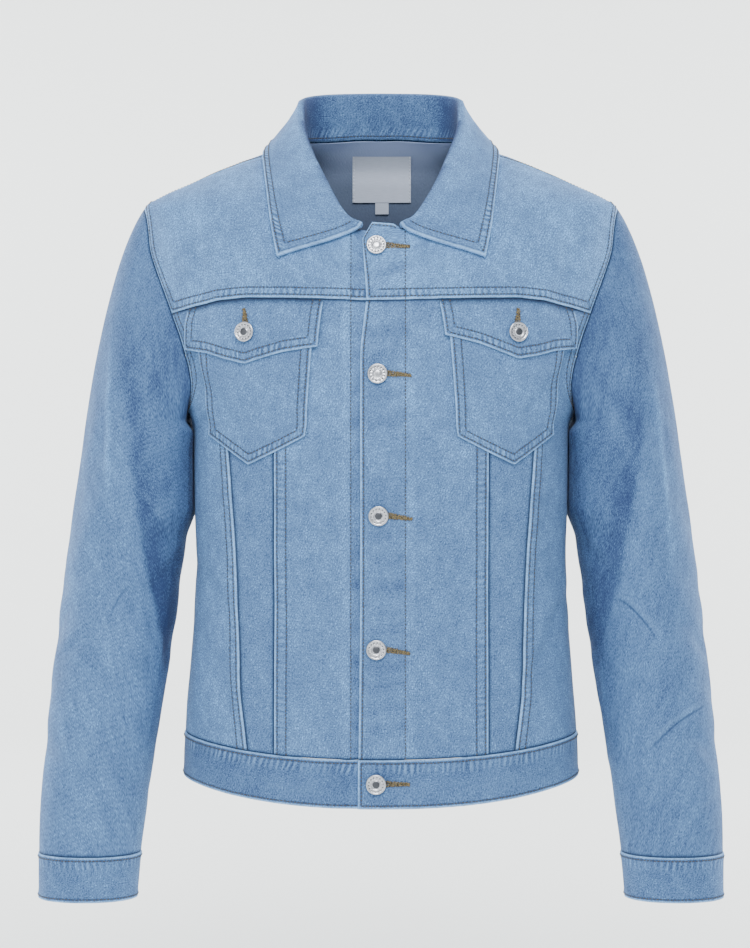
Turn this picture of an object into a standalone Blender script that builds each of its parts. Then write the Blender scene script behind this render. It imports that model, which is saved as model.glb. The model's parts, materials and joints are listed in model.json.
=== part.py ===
"""Denim trucker jacket, in its worn shape with no wearer.

Run with: blender --background --python part.py
The jacket faces -Y, its own left side is at +X, and Z is up.
The origin lies between the shoulders, where a wearer carries it.
All sizes are in millimetres until MM turns them into metres.
"""

import math

import bmesh
import bpy
import numpy as np
from mathutils import Vector

MM = 0.001

# Cloth
CLOTH = 1.4           # one layer of denim with its turned edge
DOUBLE = 2.4          # waistband and cuffs, folded double
PROUD = 0.6           # how far the doubled bands stand out
COLLAR_WALL = 2.0
LEAF_CLEAR = 2.8      # middle of the collar's leaf above the body
SATIN = 0.8           # label and tab
GAP = 0.3             # between two pieces at a seam
HALF_GAP = GAP / 2
LAP = 2.6             # how deep the right front lies under the left
LAP_X = (22.0, 34.0)  # across the front, where the right front comes up out of the lap
BAND_LAP = 3.0        # the same for the waistband
BAND_LAP_TURN = (349.0, 354.5)  # degrees round the band, where its right end goes down

# Body
ROUND = 2.3           # shape of a level slice: 2 is an ellipse, more is squarer
GIRTH = 120.0         # millimetres of girth for one radian round the body
SEAT_Z = -95.0        # height of the line that the yokes are wrapped around
INNER_SEAM_X = 99.0
UNDER_EDGE_X = 21.0   # hidden edge of the right front, past the centre
WAIST_Z = -552.0
WAIST_DIP = 15.0      # the waist seam is lower at the front edge
HEM_Z = -593.0
HEM_DIP = 19.0
BACK_YOKE_Z = -150.0
NECK_FOOT_X = 112.0   # grid line that climbs from the back seam to the neck point

# Sleeves: loop positions count from 0 at the shoulder to 13 at the armpit
LOOP = 13
YOKE_STOP = 7         # loop position where the chest seam meets the armhole
FRONT_SEAM = 11       # sleeve seam towards the front
BACK_SEAM = -8        # sleeve seam down the back
LOOP_GAP = 0.0075     # half a seam gap, in loop positions at the armhole
CUFF_GAP = 0.014      # the same at the narrow end of the sleeve
TIP_GAP = 0.016       # the same at the shoulder point
SLEEVE_GAP = 0.02     # the same between the sleeve pieces at the armhole
NECK_GAP = 0.01       # the same in collar rows, where the shoulder seam meets the neck
YOKE_CENTRE = 12      # column of the back yoke at the centre back
CAP_FLARE = 0.43      # how far the sleeve head swells out at the shoulder
CAP_PULL = 0.7        # how far it carries on outward before it turns down
ARM_TOP_Z = -285.0
CUFF_SEAM_Z = -665.5
CUFF_END_Z = -708.0

AXES = np.eye(3)


def table(names, *rows):
    """Turn rows of numbers into named columns."""
    return dict(zip(names.split(), np.array(rows, float).T))


# Half width of the shell at each height; above -48 this is the shoulder line.
WIDTHS = table("z half", (-620, 190), (-592, 190), (-553, 189), (-450, 181.5), (-378, 178.6),
               (-341, 180), (-262, 181), (-243, 187), (-217, 194), (-189, 203), (-153, 214),
               (-120, 222), (-82, 228), (-48, 229), (-42, 222), (-33, 205), (-25, 186),
               (-15, 164), (-2, 131), (4, 112), (8, 92), (12, 80), (30, 60), (60, 40))
FRONT_DEPTHS = table("z depth", (-620, 120), (-592, 120), (-450, 117), (-341, 122), (-262, 127),
                     (-217, 126), (-153, 118), (-100, 107), (-70, 95), (-48, 82), (-25, 64),
                     (-5, 44), (8, 29), (12, 24), (30, 14), (60, 8))
BACK_DEPTHS = table("z depth", (-620, 115), (-592, 115), (-450, 105), (-341, 108), (-217, 118),
                    (-153, 122), (-100, 118), (-48, 105), (-20, 93), (0, 79), (7, 72),
                    (12, 68), (30, 50), (60, 30))
# Slices tip up at the back as they near the neck.
LEAN = table("z rise", (-70, 0), (-40, 0.05), (-14, 0.18), (5, 0.3), (60, 0.3))

CHEST_SEAM = table("x z", (0, -145), (125, -141.5), (152, -143.5), (198, -153))
FRONT_EDGE = table("z x", (-620, -21.5), (-567, -21), (-400, -19.5), (-200, -19.5),
                   (-153, -15), (-145, -14), (-110, -16), (-87, -17.5), (-60, -17.5))
# Top corner of each front, from its edge to the collar's end.
YOKE_HEAD = table("x z", (-17.5, -87), (-8.6, -71), (6, -74))
YOKE_HEAD_UNDER = table("x z", (-21, -80), (-6, -80), (8, -79))
OUTER_SEAM = table("z x", (-620, 118), (-560, 124.6), (-504, 131), (-446, 133), (-384, 135.5),
                   (-285, 142.5), (-140, 152))
BACK_SEAM_LINE = table("z x", (-620, 92), (-553, 98), (-400, 118), (-250, 136), (-140, 146))
# Front half of the armhole, seen from the side.
ARMHOLE = table("y z", (0, -48), (-2, -48.05), (-17, -53.5), (-27, -70), (-33, -92), (-41, -112), (-49, -133),
                (-54, -153), (-59, -180), (-60, -200), (-57, -218), (-48, -232), (-33, -240),
                (-15, -243.5), (0, -244))
# Neck seam, fold and outer edge of the collar, from its front end to the back centre.
COLLAR = table("neck_x neck_y neck_z fold_x fold_y fold_z edge_x edge_y edge_z",
               (19, -98, -78, 17.5, -100.5, -73, 96, -104, -104),
               (38, -89, -69, 31.5, -92, -65, 98, -100, -95),
               (54, -72, -46, 45, -77, -43, 102, -92, -76),
               (70, -41, -14, 59, -46, -11, 106, -74, -50),
               (78, -10, 5, 70, -14, 21, 111, -46, -18),
               (79, 12, 14, 75, 13, 45, 114, -10, 4),
               (74, 36, 23, 76, 38, 64, 112, 34, 10),
               (63, 56, 27, 66, 60, 72, 90, 76, 10),
               (40, 68, 28.5, 40, 72, 76, 48, 88, 11),
               (0, 72, 29, 0, 75, 77, 0, 92, 11))
SHOULDER_ROW = 4      # collar row that meets the shoulder seam
BACK_ROW = 9
# Sleeve rings below the armhole: centre, half width across and half depth.
ARM = table("z x y half depth", (-285, 238.5, 0, 51, 70), (-310, 240.5, 2, 53, 69),
            (-359, 244.6, 3, 56.1, 66), (-417, 252, 0, 57, 60), (-475, 258.9, -4, 56.3, 55),
            (-513, 263.8, -8, 55.1, 51), (-551, 268.4, -13, 53.7, 48), (-590, 272.4, -18, 52.3, 45),
            (-627, 275.9, -23, 50.9, 42), (-664, 278.3, -28, 48.6, 39), (-708, 280, -31, 46.4, 37))
# Broad folds in the sleeves: height, direction round the sleeve, slope, reach and depth.
ARM_FOLDS = table("z turn slope width length depth", (-395, 60, 0.5, 14, 60, 2.0),
                  (-440, 130, -0.6, 12, 50, 2.2), (-455, 20, 0.4, 16, 70, 1.8),
                  (-520, 100, 0.7, 13, 55, 2.4), (-575, 40, -0.5, 14, 60, 2.2),
                  (-560, -80, 0.5, 16, 70, 2.4), (-430, -110, -0.4, 16, 70, 2.4))

POCKET_BOTTOM = table("x z", (69.5, -270), (96, -283.5), (122, -296), (142, -281.5), (160, -268))
POCKET_TOP_X = (59.0, 173.0)
FLAP_BOTTOM = table("x z", (58, -183), (90, -189), (108, -194.5), (125.5, -199),
                    (143, -196), (160, -190.5), (181, -187))
FLAP_TOP_X = (53.0, 180.0)
POCKET_LIFT = 0.9
FLAP_LIFT = 3.1

FRONT_BUTTONS = table("x z", (-4.6, -94), (-3.5, -213), (-2.6, -343), (-4.6, -466), (-4.9, -589))
FLAP_BUTTON = (124.0, -174.0)
BUTTON_PROFILE = table("radius height", (0, 0), (3.4, 0), (3.4, 1.2), (8.4, 1.2), (9.3, 1.9),
                       (9.1, 2.9), (7.2, 3.2), (5.6, 2.7), (0, 3.0))
BUTTON_SIDES = 16

LABEL_X = (-28.5, 30.5)
LABEL_Z = (-29.5, 15.0)
TAB_X = (-5.5, 8.0)
TAB_Z = (-41.0, -29.9)
LABEL_SINK = 1.0      # clear of the flat facets of the yoke behind it


def curve(x, knots, values):
    """Read a smooth curve with no overshoot through the knots."""
    x = np.clip(np.asarray(x, float), knots[0], knots[-1])
    step = np.diff(knots)
    rise = np.diff(values) / step
    slope = np.zeros(len(knots))
    product = rise[:-1] * rise[1:]
    total = np.where(product > 0, rise[:-1] + rise[1:], 1.0)
    slope[1:-1] = np.where(product > 0, 2 * product / total, 0.0)
    slope[0] = rise[0]
    slope[-1] = rise[-1]
    i = np.clip(np.searchsorted(knots, x, side="right") - 1, 0, len(step) - 1)
    t = (x - knots[i]) / step[i]
    bend = t * t * (3 - 2 * t)
    start = t * (1 - t) ** 2 * step[i] * slope[i]
    end = t * t * (t - 1) * step[i] * slope[i + 1]
    return values[i] + (values[i + 1] - values[i]) * bend + start + end


def power(value, exponent):
    """Raise a number to a power and keep its sign."""
    return np.sign(value) * np.abs(value) ** exponent


def half_width(z):
    """Half width of the shell at a height."""
    return curve(z, WIDTHS["z"], WIDTHS["half"])


def outside(p):
    """Zero on the body's outer face, below zero inside it."""
    x, y, z = p[..., 0], p[..., 1], p[..., 2]
    level = z - curve(z, LEAN["z"], LEAN["rise"]) * y
    front = curve(level, FRONT_DEPTHS["z"], FRONT_DEPTHS["depth"])
    back = curve(level, BACK_DEPTHS["z"], BACK_DEPTHS["depth"])
    depth = np.where(y < 0, front, back)
    return np.abs(x / half_width(level)) ** ROUND + np.abs(y / depth) ** ROUND - 1


def gradient(p):
    """Direction in which outside() grows, by central differences."""
    step = 0.05
    parts = [outside(p + axis * step) - outside(p - axis * step) for axis in AXES]
    return np.stack(parts, axis=-1) / (2 * step)


def unit(v):
    return v / np.linalg.norm(v, axis=-1, keepdims=True)


def facing(p):
    """Outward direction of the body at points on it."""
    return unit(gradient(p))


def settle(p):
    """Move points straight onto the body's outer face."""
    for _ in range(12):
        g = gradient(p)
        p = p - (outside(p) / (g ** 2).sum(axis=-1))[..., None] * g
    return p


def body(place):
    """Point on the body from (girth, height), for heights below the neck."""
    angle = place[..., 0] / GIRTH
    z = place[..., 1]
    front = curve(z, FRONT_DEPTHS["z"], FRONT_DEPTHS["depth"])
    back = curve(z, BACK_DEPTHS["z"], BACK_DEPTHS["depth"])
    depth = np.where(np.cos(angle) > 0, front, back)
    x = half_width(z) * power(np.sin(angle), 2 / ROUND)
    y = -depth * power(np.cos(angle), 2 / ROUND)
    return np.stack([x, y, z], axis=-1)


def on_front(x, z):
    """Girth and height of a front point, from its x and height."""
    x, z = np.broadcast_arrays(np.asarray(x, float), np.asarray(z, float))
    share = np.abs(x) / half_width(z)
    girth = GIRTH * np.sign(x) * np.arcsin(share ** (ROUND / 2))
    return np.stack([girth, z], axis=-1)


def on_back(x, z):
    """The same for a point of the back."""
    place = on_front(x, z)
    place[..., 0] = GIRTH * math.pi - place[..., 0]
    return place


def place_of(p):
    """Girth and height of points that lie on the body."""
    front = curve(p[..., 2], FRONT_DEPTHS["z"], FRONT_DEPTHS["depth"])
    back = curve(p[..., 2], BACK_DEPTHS["z"], BACK_DEPTHS["depth"])
    depth = np.where(p[..., 1] < 0, front, back)
    across = np.abs(p[..., 0] / half_width(p[..., 2])) ** (ROUND / 2)
    along = power(-p[..., 1] / depth, ROUND / 2)
    return np.stack([GIRTH * np.arctan2(across, along), p[..., 2]], axis=-1)


def wrap(p):
    """Coordinates round the yokes' own line: x, turn and distance."""
    turn = np.arctan2(p[..., 1], p[..., 2] - SEAT_Z)
    reach = np.hypot(p[..., 1], p[..., 2] - SEAT_Z)
    return np.stack([p[..., 0], GIRTH * turn, reach], axis=-1)


def unwrap(q):
    """Points on the body at the same x and turn, by halving along each ray."""
    turn = q[..., 1] / GIRTH
    none = np.zeros_like(turn)
    start = np.stack([q[..., 0], none, none + SEAT_Z], axis=-1)
    way = np.stack([none, np.sin(turn), np.cos(turn)], axis=-1)
    near = none
    far = none + 300.0
    for _ in range(40):
        middle = (near + far) / 2
        within = outside(start + way * middle[..., None]) < 0
        near = np.where(within, middle, near)
        far = np.where(within, far, middle)
    found = start + way * far[..., None]
    past_the_side = outside(start)[..., None] >= 0
    return np.where(past_the_side, settle(start + way * q[..., 2:]), found)


def fractions(one, two):
    """Mean spacing of two opposite edges, from 0 to 1."""
    total = 0
    for edge in (one, two):
        length = np.linalg.norm(np.diff(edge, axis=0), axis=1)
        run = np.concatenate([[0], np.cumsum(length)])
        total = total + run / run[-1] / 2
    return total


def patch(bottom, top, left, right):
    """Fill four edges; bottom and top run the same way, left and right run up."""
    s = fractions(bottom, top)[:, None, None]
    t = fractions(left, right)[None, :, None]
    across = (1 - s) * left[None] + s * right[None]
    up = (1 - t) * bottom[:, None] + t * top[:, None]
    corners = ((1 - s) * (1 - t) * bottom[0] + s * (1 - t) * bottom[-1]
               + (1 - s) * t * top[0] + s * t * top[-1])
    return across + up - corners


def lines(*stops):
    """Straight runs between stops, given as (value, number of steps) after the first."""
    values = [stops[0]]
    for value, steps in stops[1:]:
        values.extend(np.linspace(values[-1], value, steps + 1)[1:])
    return np.array(values)


def armhole(k):
    """Point of the armhole at loop position k; front is above zero, back below."""
    k = np.asarray(k, float)
    dy = np.diff(ARMHOLE["y"])
    dz = np.diff(ARMHOLE["z"])
    run = np.concatenate([[0], np.cumsum(np.hypot(dy, dz))])
    stop = run[list(ARMHOLE["z"]).index(-153)]
    reach = np.interp(np.abs(k), [0, YOKE_STOP, LOOP], [0, stop, run[-1]])
    y = curve(reach, run, ARMHOLE["y"]) * np.sign(k)
    z = curve(reach, run, ARMHOLE["z"])
    level = z - curve(z, LEAN["z"], LEAN["rise"]) * y
    front = curve(level, FRONT_DEPTHS["z"], FRONT_DEPTHS["depth"])
    back = curve(level, BACK_DEPTHS["z"], BACK_DEPTHS["depth"])
    share = np.abs(y / np.where(y < 0, front, back))
    x = half_width(level) * (1 - share ** ROUND) ** (1 / ROUND)
    return np.stack([x, y, z], axis=-1)


def armhole_facing(k):
    """Direction out of the armhole's ring, shared by the body and the sleeve."""
    k = np.asarray(k, float)
    ahead = armhole(np.minimum(k + 0.02, LOOP))
    behind = armhole(np.maximum(k - 0.02, -LOOP))
    run = ahead - behind
    out = np.stack([np.zeros_like(k), run[..., 2], -run[..., 1]], axis=-1)
    return unit(out)


def neck(row):
    """Point of the neck seam at a row of the collar table."""
    rows = np.arange(BACK_ROW + 1.0)
    guess = [curve(row, rows, COLLAR["neck_" + axis]) for axis in "xyz"]
    return settle(np.stack(guess, axis=-1))


def mirror(points):
    return points * np.array([-1, 1, 1])


def chest_seam(x):
    """Height of the seam under the front yoke."""
    return np.interp(x, CHEST_SEAM["x"], CHEST_SEAM["z"])


def waist_seam(angle):
    """Height of the waist seam at a direction round the body."""
    return WAIST_Z - WAIST_DIP * np.maximum(np.cos(angle), 0) ** 2


def waist_at(x):
    """Height of the waist seam over an x on the front."""
    angle = on_front(x, WAIST_Z)[..., 0] / GIRTH
    return waist_seam(angle)


def sunk(points, under):
    """Lower the hidden part of the right front under the left front."""
    if not under:
        return points
    start, end = LAP_X
    share = np.clip((points[..., 0] - start) / (end - start), 0, 1)
    depth = LAP * (1 - share * share * (3 - 2 * share))
    return points - facing(points) * depth[..., None]


def shell(outer, under=False):
    """Outer and inner face of a body panel."""
    laid = sunk(outer, under)
    return laid, laid - facing(outer) * CLOTH


def trim_armhole(inner, outer, side_index, k):
    """Turn the panel's armhole edge to lie along the ring."""
    inner[side_index] = outer[side_index] - armhole_facing(k) * CLOTH


def front_yoke(under):
    """Chest yoke, from the chest seam up to the neck and shoulder."""
    neck_rows = np.linspace(0, SHOULDER_ROW - NECK_GAP, 8)
    k = lines(YOKE_STOP - LOOP_GAP, (TIP_GAP, YOKE_STOP))
    right = armhole(k)
    collar_edge = neck(neck_rows)
    shoulder = unwrap(lines_between(wrap(collar_edge[-1]), wrap(right[-1]), 6))
    start = YOKE_HEAD_UNDER if under else YOKE_HEAD
    head = settle(body(on_front(start["x"], start["z"])))
    top = np.concatenate([head, collar_edge, shoulder[1:]])
    edge_z = np.linspace(chest_seam(0) + HALF_GAP, head[0, 2], YOKE_STOP + 1)
    edge_x = front_edge(edge_z, under)
    left = settle(body(on_front(edge_x, edge_z)))
    left[-1] = head[0]
    low_x = lines(edge_x[0], (6, 2), (LAP_X[0], 1), (LAP_X[1], 2), (78, 5), (INNER_SEAM_X, 1), (125, 1), (152, 1),
                  (right[0, 0], 3))
    bottom = body(on_front(low_x, chest_seam(np.maximum(low_x, 0)) + HALF_GAP))
    bottom[0] = left[0]
    bottom[-1] = right[0]
    grid = unwrap(patch(wrap(bottom), wrap(top), wrap(left), wrap(right)))
    outer, inner = shell(grid, under)
    trim_armhole(inner, outer, -1, k)
    return outer, inner


def lines_between(start, end, steps):
    """Points in equal steps from one point to another."""
    share = np.linspace(0, 1, steps + 1)[:, None]
    return start + (end - start) * share


def back_yoke():
    """One piece across the back, from armhole to armhole and up to the neck."""
    k = -lines(YOKE_STOP - LOOP_GAP, (TIP_GAP, YOKE_STOP))
    left = armhole(k)
    neck_half = neck(np.linspace(SHOULDER_ROW + NECK_GAP, BACK_ROW, 7))
    shoulder = unwrap(lines_between(wrap(left[-1]), wrap(neck_half[0]), YOKE_CENTRE - 6))
    top_half = np.concatenate([shoulder[:-1], neck_half])
    top = np.concatenate([top_half, mirror(top_half[-2::-1])])
    low_x = lines(left[0, 0], (NECK_FOOT_X, 6), (0, 6))
    low_x = np.concatenate([low_x, -low_x[-2::-1]])
    low_z = np.interp(np.abs(low_x), [0, left[0, 0]], [BACK_YOKE_Z + 4, left[0, 2]])
    bottom = body(on_back(low_x, low_z + HALF_GAP))
    bottom[0] = left[0]
    bottom[-1] = mirror(left[0])
    grid = unwrap(patch(wrap(bottom), wrap(top), wrap(left), wrap(mirror(left))))
    outer, inner = shell(grid)
    trim_armhole(inner, outer, 0, k)
    inner[-1] = mirror(inner[0])
    return outer, inner


def front_strip(left_of, right_of, share, rows, under=False):
    """Front panel between two upright seams, each given as x at a height."""
    share = share[:, None]
    rise = np.linspace(0, 1, rows + 1)[None, :]
    z = WAIST_Z + rise * (chest_seam(60) - WAIST_Z) + 0 * share
    for _ in range(6):
        x = left_of(z) * (1 - share) + right_of(z) * share
        low = waist_at(x) + HALF_GAP
        high = chest_seam(np.maximum(x, 0)) - HALF_GAP
        z = low + (high - low) * rise
    return shell(body(on_front(x, z)), under)


def outer_seam(z):
    """Seam between the narrow strip and the side, as x at a height."""
    return curve(z, OUTER_SEAM["z"], OUTER_SEAM["x"])


def front_edge(z, under):
    """Edge of the left front, or the hidden edge of the right one."""
    if under:
        return -UNDER_EDGE_X + 0 * z
    return curve(z, FRONT_EDGE["z"], FRONT_EDGE["x"])


def front_panel(under):
    """Centre front with the button edge."""
    x = lines(-UNDER_EDGE_X, (LAP_X[0], 2), (LAP_X[1], 1), (INNER_SEAM_X, 4))
    share = (x - x[0]) / (x[-1] - x[0])
    return front_strip(lambda z: front_edge(z, under),
                       lambda z: INNER_SEAM_X - HALF_GAP + 0 * z, share, 16, under)


def front_inset():
    """Narrow strip between the two upright seams."""
    return front_strip(lambda z: INNER_SEAM_X + HALF_GAP + 0 * z,
                       lambda z: outer_seam(z) - HALF_GAP, np.linspace(0, 1, 3), 16)


def side_panel(back):
    """Side of the front or the back, up to the armhole."""
    sign = -1 if back else 1
    k = sign * lines(LOOP - LOOP_GAP, (YOKE_STOP + LOOP_GAP, LOOP - YOKE_STOP))
    arm_places = place_of(armhole(k))
    side = GIRTH * math.pi / 2 - sign * 0.02
    low_z = WAIST_Z + HALF_GAP
    side_z = np.linspace(low_z, arm_places[0, 1], 12)[:-1]
    right = np.concatenate([np.stack([np.full(11, side), side_z], axis=-1), arm_places])
    rise = fractions(right, right)
    line = BACK_SEAM_LINE if back else OUTER_SEAM
    convert = on_back if back else on_front
    high_z = arm_places[-1, 1]
    seam_top_x = curve(high_z, line["z"], line["x"]) + HALF_GAP
    if not back:
        high_z = chest_seam(seam_top_x) - HALF_GAP
    foot = convert(curve(low_z, line["z"], line["x"]) + HALF_GAP, low_z)
    if not back:
        foot[1] = waist_seam(foot[0] / GIRTH) + HALF_GAP
    else:
        high_z = back_seam_height(seam_top_x) - HALF_GAP
    left_z = foot[1] + (high_z - foot[1]) * rise
    left = convert(curve(left_z, line["z"], line["x"]) + HALF_GAP, left_z)
    top_x = np.linspace(seam_top_x, armhole(k[-1])[0], 6)
    top_z = (back_seam_height(top_x) if back else chest_seam(top_x)) - HALF_GAP
    top = convert(top_x, top_z)
    top[-1] = arm_places[-1]
    low_girth = np.linspace(left[0, 0], side, 6)
    bottom = np.stack([low_girth, waist_seam(low_girth / GIRTH) + HALF_GAP], axis=-1)
    grid = body(patch(bottom, top, left, right))
    outer, inner = shell(grid)
    arm_rows = slice(len(side_z), None)
    inner[-1, arm_rows] = outer[-1, arm_rows] - armhole_facing(k) * CLOTH
    return outer, inner


def back_seam_height(x):
    """Height of the back yoke seam, a little higher at the centre."""
    edge = armhole(-YOKE_STOP)
    return np.interp(np.abs(x), [0, edge[0]], [BACK_YOKE_Z + 4, edge[2]])


def back_panel():
    """Centre back, narrower at the waist."""
    columns, rows = 10, 16
    share = np.linspace(-1, 1, columns + 1)[:, None]
    rise = np.linspace(0, 1, rows + 1)[None, :]
    low = WAIST_Z + HALF_GAP
    z = low + (BACK_YOKE_Z - low) * rise + 0 * share
    for _ in range(6):
        x = share * (curve(z, BACK_SEAM_LINE["z"], BACK_SEAM_LINE["x"]) - HALF_GAP)
        high = back_seam_height(x) - HALF_GAP
        z = low + (high - low) * rise
    return shell(body(on_back(x, z)))


def waistband():
    """One long band whose left end laps over its right end."""
    columns = 52
    start = on_front(-21.5, WAIST_Z)[0] / GIRTH
    end = 2 * math.pi - on_front(-UNDER_EDGE_X, WAIST_Z)[0] / GIRTH
    angle = np.linspace(start, end, columns + 1)[:, None]
    rise = np.linspace(0, 1, 3)[None, :]
    low = HEM_Z - HEM_DIP * np.maximum(np.cos(angle), 0) ** 2
    high = waist_seam(angle) - HALF_GAP
    z = low + (high - low) * rise
    grid = body(np.stack([angle * GIRTH + 0 * z, z], axis=-1))
    lap_start, lap_end = np.radians(BAND_LAP_TURN)
    turn = np.clip((angle + 0 * z - lap_start) / (lap_end - lap_start), 0, 1)
    depth = BAND_LAP * turn * turn * (3 - 2 * turn)
    out = facing(grid)
    outer = grid + out * (PROUD - depth)[..., None]
    return outer, outer - out * DOUBLE


def collar():
    """Stand, fold and leaf in one folded wall, from end to end."""
    rows = lines(0, (SHOULDER_ROW, 7), (BACK_ROW, 6))
    index = np.arange(BACK_ROW + 1.0)
    seam = neck(rows)
    run = unit(np.gradient(seam, axis=0))
    out = facing(seam)
    hole = unit(np.cross(out, run))
    centre = np.array([0, -10, 40])
    hole = hole * np.sign((hole * (centre - seam)).sum(axis=-1))[:, None]
    foot = seam + hole * (GAP + COLLAR_WALL / 2 + 0.5)
    fold = np.stack([curve(rows, index, COLLAR["fold_" + axis]) for axis in "xyz"], axis=-1)
    edge = np.stack([curve(rows, index, COLLAR["edge_" + axis]) for axis in "xyz"], axis=-1)
    edge = settle(edge)
    edge = edge + facing(edge) * LEAF_CLEAR
    sections = [collar_section(*ends) for ends in zip(foot, fold, edge, run, out)]
    half = np.array(sections)
    whole = np.concatenate([half, mirror(half[-2::-1])])
    along = np.gradient(whole, axis=0)
    over = np.gradient(whole, axis=1)
    side = unit(np.cross(along, over))
    side = side * np.sign((side[4, -2] * facing(whole[4, -2])).sum())
    return whole + side * COLLAR_WALL / 2, whole - side * COLLAR_WALL / 2


def collar_section(foot, fold, edge, run, out):
    """Middle line of the collar across one place: up, over the fold and down."""
    up = fold - foot
    height = np.linalg.norm(up)
    up = up / height
    away = np.cross(up, run)
    away = unit(away - up * (away @ up))
    away = away * np.sign(away @ out)
    radius = min(max(height * 0.28, 1.7), 3.2)
    turn = fold - up * radius + away * radius
    stand = [foot + (fold - up * radius - foot) * share for share in (0, 0.5)]
    arc = []
    for angle in np.radians([0, 45, 90, 135, 180]):
        arc.append(turn - away * radius * math.cos(angle) + up * radius * math.sin(angle))
    start = arc[-1]
    length = np.linalg.norm(edge - start)
    first = unit((edge - start) / length - up * 0.9 + away * 0.25) * length * 0.8
    last = (edge - start) * 0.9
    leaf = []
    for t in np.linspace(0, 1, 7)[1:]:
        bend = t * t * (3 - 2 * t)
        point = start + (edge - start) * bend
        point = point + first * t * (1 - t) ** 2 + last * t * t * (t - 1)
        leaf.append(point)
    return np.array(stand + arc + clear(leaf, LEAF_CLEAR))


def clear(points, margin):
    """Push points out until they clear the body by the margin."""
    p = np.array(points)
    for _ in range(4):
        g = gradient(p)
        size = np.linalg.norm(g, axis=-1)
        short = np.maximum(margin - outside(p) / size, 0)
        p = p + g / size[:, None] * short[:, None]
    return list(p)


def arm_ring(z, k):
    """Point on the sleeve's ring at a height, at loop position k."""
    z, k = np.broadcast_arrays(np.asarray(z, float), np.asarray(k, float))
    order = slice(None, None, -1)
    read = {name: curve(z, ARM["z"][order], ARM[name][order]) for name in ("x", "y", "half", "depth")}
    phi = k * math.pi / LOOP
    push = arm_folds(z, phi)
    x = read["x"] + (read["half"] + push) * power(np.cos(phi), 0.95)
    y = read["y"] - (read["depth"] + push) * power(np.sin(phi), 0.95)
    return np.stack([x, y, z], axis=-1)


def arm_folds(z, phi):
    """How far the broad folds press the sleeve in."""
    push = 0
    for row in zip(*ARM_FOLDS.values()):
        at, turn, slant, width, length, depth = row
        away = np.angle(np.exp(1j * (phi - math.radians(turn)))) * 50
        across = (z - at) - slant * away
        push = push - depth * np.exp(-(across / width) ** 2 - (away / length) ** 2)
    return push


def sleeve_rows(k):
    """Sleeve surface from the armhole to the cuff seam, a row for each ring."""
    k = np.asarray(k, float)
    round_trip = 2 * LOOP
    loop_k = (k + LOOP) % round_trip - LOOP
    start = armhole(loop_k) + AXES[0] * GAP
    first = arm_ring(ARM_TOP_Z, k)
    chord = first - start
    length = np.linalg.norm(chord, axis=-1, keepdims=True)
    flare = CAP_FLARE * np.cos(loop_k * math.pi / LOOP / 2) ** 2
    leave = unit(chord / length + flare[:, None] * AXES[0]) * length * CAP_PULL
    arrive = unit(np.array([0.12, 0, -1])) * length * 0.8
    rings = []
    for t in (0, 0.1, 0.22, 0.36, 0.52, 0.68, 0.84):
        bend = t * t * (3 - 2 * t)
        rings.append(start + chord * bend + leave * t * (1 - t) ** 2 + arrive * t * t * (t - 1))
    for z in np.linspace(ARM_TOP_Z, CUFF_SEAM_Z + HALF_GAP, 10):
        rings.append(arm_ring(z, k))
    return np.stack(rings, axis=1)


def sleeve_piece(k):
    """Wall of one sleeve piece between two loop positions."""
    grid = sleeve_rows(k)
    taper = np.linspace(SLEEVE_GAP, CUFF_GAP, grid.shape[1])
    along = np.gradient(grid, axis=1)
    around = sleeve_rows(k + 0.1) - sleeve_rows(k - 0.1)
    out = unit(np.cross(around, along))
    centre = np.array([240.0, 0, 0])
    flat = (grid - centre)[len(k) // 2, 8]
    out = out * np.sign(out[len(k) // 2, 8] @ (flat * np.array([1, 1, 0])))
    grid[0] = grid[0] + around[0] / 0.2 * taper[:, None]
    grid[-1] = grid[-1] - around[-1] / 0.2 * taper[:, None]
    inner = grid - out * CLOTH
    loop_k = (k + LOOP) % (2 * LOOP) - LOOP
    inner[:, 0] = grid[:, 0] - armhole_facing(loop_k) * CLOTH
    return grid, inner


def sleeve_top():
    return sleeve_piece(np.arange(BACK_SEAM, FRONT_SEAM + 1.0))


def sleeve_under():
    return sleeve_piece(np.arange(FRONT_SEAM, 2 * LOOP + BACK_SEAM + 1.0))


def cuff():
    """Closed band below the sleeve, its ends 0.3 mm apart at the back seam."""
    k = np.linspace(BACK_SEAM + CUFF_GAP, BACK_SEAM + 2 * LOOP - CUFF_GAP, 2 * LOOP + 1)
    rings = [arm_ring(z, k) for z in np.linspace(CUFF_SEAM_Z - HALF_GAP, CUFF_END_Z, 3)]
    grid = np.stack(rings, axis=1)
    around = np.stack([arm_ring(p[0, 2], k + 0.1) - arm_ring(p[0, 2], k - 0.1)
                       for p in np.swapaxes(grid, 0, 1)], axis=1)
    out = unit(np.cross(around, np.gradient(grid, axis=1)))
    out = out * np.sign(out[7, 1, 0])
    outer = grid + out * PROUD
    return outer, outer - out * DOUBLE


def pocket():
    """Pointed chest pocket, lying on the front."""
    columns = 10
    low_x = np.linspace(POCKET_BOTTOM["x"][0], POCKET_BOTTOM["x"][-1], columns + 1)
    top_x = np.linspace(*POCKET_TOP_X, columns + 1)
    low_z = np.interp(low_x, POCKET_BOTTOM["x"], POCKET_BOTTOM["z"])
    return laid_on(low_x, low_z, top_x, chest_seam(top_x) - 2, 8, POCKET_LIFT)


def flap():
    """Scalloped pocket flap, lying on the pocket."""
    columns = 10
    low_x = np.linspace(FLAP_BOTTOM["x"][0], FLAP_BOTTOM["x"][-1], columns + 1)
    top_x = np.linspace(*FLAP_TOP_X, columns + 1)
    low_z = curve(low_x, FLAP_BOTTOM["x"], FLAP_BOTTOM["z"])
    return laid_on(low_x, low_z, top_x, chest_seam(top_x) - 0.6, 3, FLAP_LIFT)


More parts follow.
